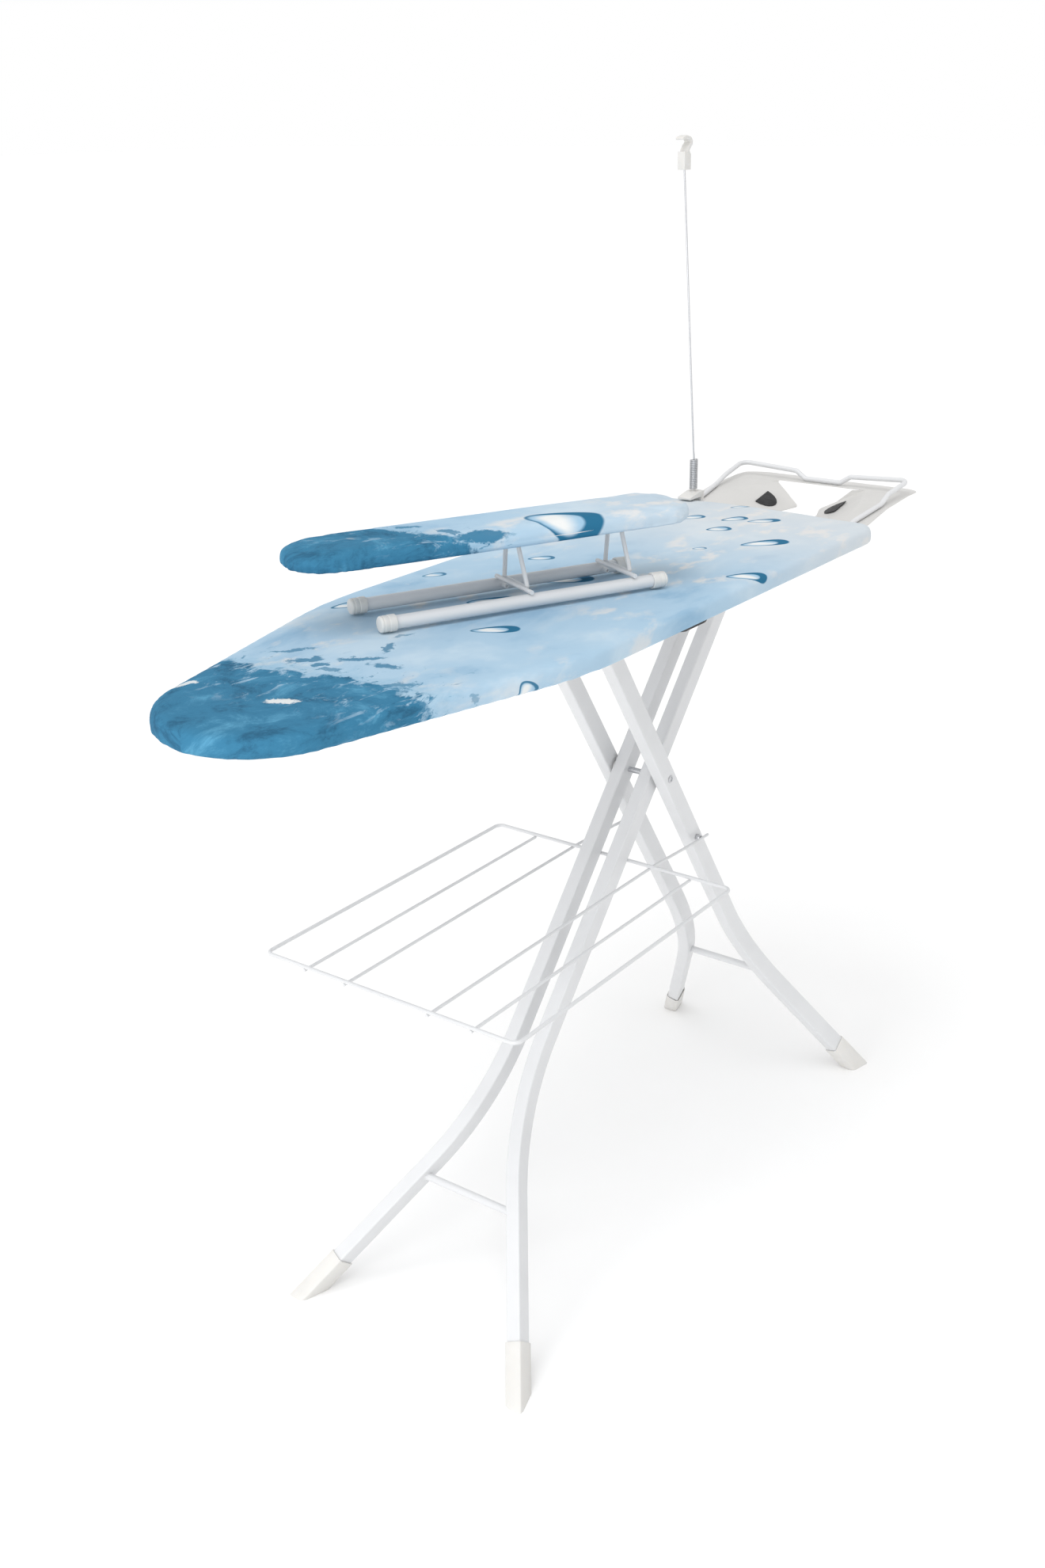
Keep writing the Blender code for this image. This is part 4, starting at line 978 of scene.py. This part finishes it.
def make_legs():
    wide, deep = TUBE_HALF_WIDTH, TUBE_HALF_DEPTH
    loop = fillet([(-wide, -deep), (wide, -deep), (wide, deep), (-wide, deep)], [TUBE_CORNER] * 4, 11.0)
    guide = bpy.data.objects.new("tube_section", poly_curve("tube_section", [loop], True, "2D"))
    guide.data.fill_mode = "NONE"
    link(guide)
    for kind in LEGS:
        for end, side in (("far", 1.0), ("near", -1.0)):
            path, place = leg_line(kind, side)
            name = f"{kind}_leg_{end}"
            data = poly_curve(name + "_fine", [path], False)
            data.twist_mode = "Z_UP"
            data.bevel_mode = "OBJECT"
            data.bevel_object = guide
            data.use_fill_caps = True
            tube = link(bpy.data.objects.new(name + "_fine", data))
            tube.matrix_world = place
            stand_for(smooth(to_mesh(tube), 40.0), PAINT, name)
            refine(f"{kind}_foot_{end}", PLASTIC, 0.0016, 3)
            refine(f"{kind}_plug_{end}", PLASTIC, 0.0006)
        low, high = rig.box(f"{kind}_crossbar")
        middle = (low + high) / 2.0
        bar = [(middle.x, low.y, middle.z), (middle.x, high.y, middle.z)]
        rod = wire(f"{kind}_crossbar_fine", bar, CROSSBAR_RADIUS, resolution=8)
        stand_for(rod, PAINT, f"{kind}_crossbar")
    bpy.data.objects.remove(guide, do_unlink=True)


ROD_RADIUS = 0.0040
SPACER_RADIUS = 0.0085
SPACER_BORE = 0.0043


def headed_rod(name, radius, head_radius, head):
    """A rod with a low rolled head on each end, hollow in the middle."""
    low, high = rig.box(name)
    middle = (low + high) / 2.0
    half = (high.y - low.y) / 2.0 - head
    one = [(0.0, half - 0.0030), (radius * 0.62, half - 0.0030), (radius * 0.80, half + head * 0.9),
           (head_radius * 0.75, half + head), (head_radius * 0.93, half + head * 0.6),
           (head_radius, half + head * 0.2), (head_radius, half), (radius, half)]
    profile = one + [(r, -z) for r, z in reversed(one)]
    stand_for(lathe(name + "_fine", profile, middle, (0.0, 1.0, 0.0)), STEEL, name)


def make_rods():
    headed_rod("pivot_rod", ROD_RADIUS, 0.0054, 0.0012)
    headed_rod("slider_rod", ROD_RADIUS, 0.0058, 0.0014)
    headed_rod("inner_hinge_rod", ROD_RADIUS, 0.0065, 0.0018)
    for end in ("far", "near"):
        low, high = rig.box(f"pivot_spacer_{end}")
        ring = [(SPACER_RADIUS, high.y), (SPACER_RADIUS, low.y), (SPACER_BORE, low.y), (SPACER_BORE, high.y)]
        piece = lathe(f"pivot_spacer_{end}_fine", rounded(ring + ring[:1], 0.0005), (PIVOT.x, 0.0, PIVOT.z),
                      (0.0, 1.0, 0.0))
        stand_for(piece, PLASTIC, f"pivot_spacer_{end}")
        refine(f"shelf_rivet_{end}", STEEL, 0.0006)


# ---------------------------------------------------------------- track, straps and release lever
RIM_INSET = 0.0070
RIM_Z = 0.9095
RIM_RADIUS = 0.0050
LEVER_END_X = -0.331
LEVER_X = -0.033
LEVER_Z = 0.8735
LEVER_RADIUS = 0.0025
GRIP_Y = -0.138
GRIP_START = 0.022
GRIP_END = 0.078
GRIP_RADIUS = 0.0070
GRIP_GROOVES = 9


def make_frame():
    rim = [(p.x, p.y, RIM_Z) for p in board_loop(RIM_INSET)]
    stand_for(wire("rim_tube_fine", rim, RIM_RADIUS, closed=True), PAINT, "rim_tube")
    for name in ("strap_nose", "strap_middle", "strap_rear", "strap_tail", "lever_bracket"):
        refine(name, PAINT, 0.0004)
    for name in ("height_track", "hinge_bracket"):
        refine(name, PAINT, 0.0003)


def make_lever():
    x, z, y = LEVER_X, LEVER_Z, GRIP_Y
    path = fillet([(LEVER_END_X, 0.0, z), (x, 0.0, z), (x, y, z), (x + 0.075, y, z)],
                  [0.0, 0.008, 0.008, 0.0], 8.0, closed=False)
    stand_for(wire("release_lever_fine", path, LEVER_RADIUS), STEEL, "release_lever")
    start, end, radius = GRIP_START, GRIP_END, GRIP_RADIUS
    grip = [(0.0, end + 0.003), (0.0035, end + 0.0026), (0.0055, end + 0.001), (radius, end - 0.004)]
    for index in range(GRIP_GROOVES):
        at = end - 0.010 - index * 0.0038
        grip += [(radius, at), (0.0064, at - 0.0009), (0.0064, at - 0.0019), (radius, at - 0.0028)]
    grip += [(radius, start + 0.008), (0.0055, start), (0.0028, start), (0.0028, 0.0753), (0.0, 0.0753)]
    stand_for(lathe("release_grip_fine", grip, (x, y, z), (1.0, 0.0, 0.0)), RUBBER, "release_grip")


# ---------------------------------------------------------------- linen shelf
SHELF_LEFT = -0.430
SHELF_RIGHT = 0.0456
SHELF_HALF = 0.190
SHELF_Z = 0.5115
SHELF_RIM_RADIUS = 0.0025
WIRE_RADIUS = 0.0021
WIRE_Z = 0.5067
INNER_WIRE_Y = 0.0633
HANG_X = 0.1876
HANG_Z = 0.50062


def make_shelf():
    left, right, half, z = SHELF_LEFT, SHELF_RIGHT, SHELF_HALF, SHELF_Z
    ring = fillet([(left, -half, z), (right, -half, z), (right, half, z), (left, half, z)], [0.010] * 4, 9.0)
    stand_for(wire("shelf_rim_fine", ring, SHELF_RIM_RADIUS, closed=True), PAINT, "shelf_rim")
    for index, y in enumerate((half * 2 / 3, INNER_WIRE_Y, -INNER_WIRE_Y, -half * 2 / 3)):
        if index in (0, 3):
            path = [(left - 0.0015, y, WIRE_Z), (right + 0.0015, y, WIRE_Z)]
        else:
            path = fillet([(left - 0.0015, y, WIRE_Z), (right + 0.02, y, WIRE_Z),
                           (HANG_X - 0.012, y, HANG_Z), (HANG_X + 0.016, y, HANG_Z)],
                          [0.0, 0.2, 0.05, 0.0], 2.0, closed=False)
        name = f"shelf_wire_{index + 1}"
        stand_for(wire(name + "_fine", path, WIRE_RADIUS), PAINT, name)


# ---------------------------------------------------------------- iron rest
RAIL_RADIUS = 0.0037


def make_iron_rest():
    half = [(0.366, 0.128, 0.8958), (0.440, 0.128, 0.8958), (0.483, 0.131, 0.9080),
            (0.555, 0.138, 0.9190), (0.581, 0.137, 0.9290), (0.643, 0.141, 0.9390),
            (0.643, 0.046, 0.9340), (0.642, 0.030, 0.9236)]
    radii = [0.0, 0.03, 0.05, 0.02, 0.02, 0.014, 0.008, 0.008]
    path = half + [(x, -y, z) for x, y, z in reversed(half)]
    rail = wire("rest_rail_fine", fillet(path, radii + radii[::-1], 7.0, closed=False), RAIL_RADIUS)
    stand_for(rail, PAINT, "rest_rail")
    refine("iron_tray", TRAY_PAINT, 0.0003, 1, 60.0)
    for end in ("far", "near"):
        refine(f"heat_pad_{end}", RUBBER, 0.0005)


# ---------------------------------------------------------------- cord holder
SPRING_PLACE = (0.4255, 0.104)
SPRING_LOW = 0.93815
SPRING_HIGH = 0.98165
SPRING_TURNS = 24
SPRING_STEPS = 22
SPRING_RADIUS = 0.0053
SPRING_WIRE = 0.00085
FLEX_TOP = (0.4255, 0.131, 1.394)
FLEX_RADIUS = 0.0014


def make_spring():
    x, y = SPRING_PLACE
    low, high = SPRING_LOW, SPRING_HIGH
    coil = []
    for index in range(SPRING_TURNS * SPRING_STEPS + 1):
        share = index / (SPRING_TURNS * SPRING_STEPS)
        angle = math.tau * index / SPRING_STEPS
        coil.append((x + SPRING_RADIUS * math.cos(angle), y + SPRING_RADIUS * math.sin(angle),
                     low + (high - low) * share))
    spring = wire("flex_spring_fine", coil, SPRING_WIRE, resolution=2)
    spring.data.materials.clear()
    spring.data.materials.append(STEEL)
    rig.replaces(spring, "flex_spring")
    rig.slot(spring, "bright_steel")
    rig.blend(spring, "board", "flex", start=(x, y, low), end=(x, y, high))


def make_cord_holder():
    refine("flex_clamp", PLASTIC, 0.0012, 3)
    refine("flex_clamp_screw", STEEL, 0.0005)
    refine("cord_clip", PLASTIC, 0.0010, 3)
    make_spring()
    x, y = SPRING_PLACE
    rod = [(x, y, 0.950), (x, y, 0.9855), (x, y + 0.001, 0.9945), (x, y + 0.0138, 1.19), FLEX_TOP]
    path = fillet(rod, [0.0, 0.02, 0.1, 3.0, 0.0], 1.0, closed=False)
    stand_for(wire("flex_rod_fine", path, FLEX_RADIUS), STEEL, "flex_rod")


# ---------------------------------------------------------------- sleeve board stand
SKID_Z = 0.9361
SKID_GAP = 0.042
SKID_LENGTH = 0.376
SKID_RADIUS = 0.0078
PEG_X = (0.1965, 0.3365)
CAP_RADIUS = 0.0098
CAP_BORE = 0.0081
CAP_WALL = 0.0033
BRACKETS = {"bracket_nose": 0.190, "bracket_tail": 0.330}
BRACKET_LOW = 0.9469
BRACKET_TOP = 1.0030
BRACKET_RADIUS = 0.0027


def make_peg(end, side, x):
    """A short peg welded to the inner side of a skid."""
    peg = [(0.0, 0.0), (0.0030, 0.0), (0.0030, 0.0085), (0.0026, 0.0090), (0.0016, 0.0090), (0.0014, 0.0070),
           (0.0, 0.0070)]
    point = SLEEVE @ Vector((x, side * SKID_GAP - side * 0.0068, SKID_Z))
    away = SLEEVE.to_3x3() @ Vector((0.0, -side, 0.0))
    piece = lathe(f"skid_{end}_peg_{round(x * 1000)}", peg, point, away, 20)
    dress(piece, PAINT, "sleeve_base", slot="white_paint")


def make_cap(number, x, y, way):
    """A ribbed plastic cap on the end of a skid."""
    r, bore, wall = CAP_RADIUS, CAP_BORE, CAP_WALL
    cap = [(0.0, 0.0), (r - 0.0034, 0.0), (r - 0.0016, -0.0005), (r - 0.0006, -0.0016), (r - 0.0004, -0.0030),
           (r - 0.0009, -0.0036), (r - 0.0009, -0.0044), (r - 0.0003, -0.0050), (r - 0.0003, -0.0092),
           (r - 0.0006, -0.0098), (r - 0.0006, -0.0106), (r, -0.0112), (r, -0.0190), (r - 0.0006, -0.0198),
           (bore, -0.0198), (bore, -wall), (0.0, -wall)]
    point = SLEEVE @ Vector((x, y, SKID_Z))
    piece = lathe(f"skid_cap_{number}_fine", cap, point, SLEEVE.to_3x3() @ Vector((way, 0.0, 0.0)), 48)
    stand_for(piece, PLASTIC, f"skid_cap_{number}")


def make_bracket(name, x):
    low, top = BRACKET_LOW, BRACKET_TOP
    ends = [SLEEVE @ Vector((x, -0.049, low)), SLEEVE @ Vector((x, 0.040, low))]
    stand_for(wire(name + "_rod", ends, BRACKET_RADIUS), PAINT, name)
    hoop = [(x + 0.005, -0.029, low), (x, -0.013, top), (x, 0.013, top), (x + 0.005, 0.029, low)]
    path = fillet([SLEEVE @ Vector(p) for p in hoop], [0.003, 0.007, 0.007, 0.003], 8.0)
    piece = wire(name + "_hoop", path, BRACKET_RADIUS, closed=True)
    dress(piece, PAINT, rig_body(name), slot="white_paint")


def make_sleeve_stand():
    number = 0
    for end, side in (("far", 1.0), ("near", -1.0)):
        y = side * SKID_GAP
        ends = [SLEEVE @ Vector((x, y, SKID_Z)) for x in (0.0037, SKID_LENGTH - 0.0037)]
        stand_for(wire(f"skid_{end}_tube", ends, SKID_RADIUS, resolution=10), PAINT, f"skid_{end}")
        for x in PEG_X:
            make_peg(end, side, x)
        for x, way in ((0.0, -1.0), (SKID_LENGTH, 1.0)):
            number += 1
            make_cap(number, x, y, way)
    for name, x in BRACKETS.items():
        make_bracket(name, x)


add_camera()
add_studio()

PAINT = painted_steel("white_powder_coat", (0.705, 0.713, 0.725))
TRAY_PAINT = painted_steel("tray_powder_coat", (0.640, 0.632, 0.616), 0.42)
STEEL = bright_metal("bright_steel", (0.66, 0.67, 0.69), 0.28)
PLASTIC = moulded_plastic("white_plastic", (0.715, 0.705, 0.682))
RUBBER = silicone("black_silicone")
FOAM = padding("padding")
PRINT = printed_cotton("board_print", (0.0, 0.0), 0.0, COVER_TOP - 0.002, BOARD_NOSE, BOARD_DROPS,
                       BOARD_STROKES, BOARD_PALE, BOARD_BLOTS)
SLEEVE_PRINT = printed_cotton("sleeve_print", SLEEVE_PLACE, SLEEVE_TURN, SLEEVE_TOP - 0.003, SLEEVE_NOSE,
                              SLEEVE_DROPS, SLEEVE_STROKES, SLEEVE_PALE)

LOOKS = {"white_paint": PAINT, "bright_steel": STEEL, "white_plastic": PLASTIC, "black_silicone": RUBBER,
         "padding": FOAM, "cotton_cover": PRINT}
SLOTS = {part["node"]: part["material_slot"] for part in frame["record"]["subparts"]}
for node_name, node in NODES.items():
    node.data.materials.clear()
    node.data.materials.append(LOOKS[SLOTS[node_name]])
NODES["iron_tray"].data.materials[0] = TRAY_PAINT
NODES["sleeve_cover"].data.materials[0] = SLEEVE_PRINT

make_covers()
make_legs()
make_rods()
make_frame()
make_lever()
make_shelf()
make_iron_rest()
make_cord_holder()
make_sleeve_stand()

low_corner, high_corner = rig.bounds()
with_size = {"cad": CAD_BOX, "visual": [list(low_corner), list(high_corner)]}
with open("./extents.json", "w") as out:
    json.dump(with_size, out)
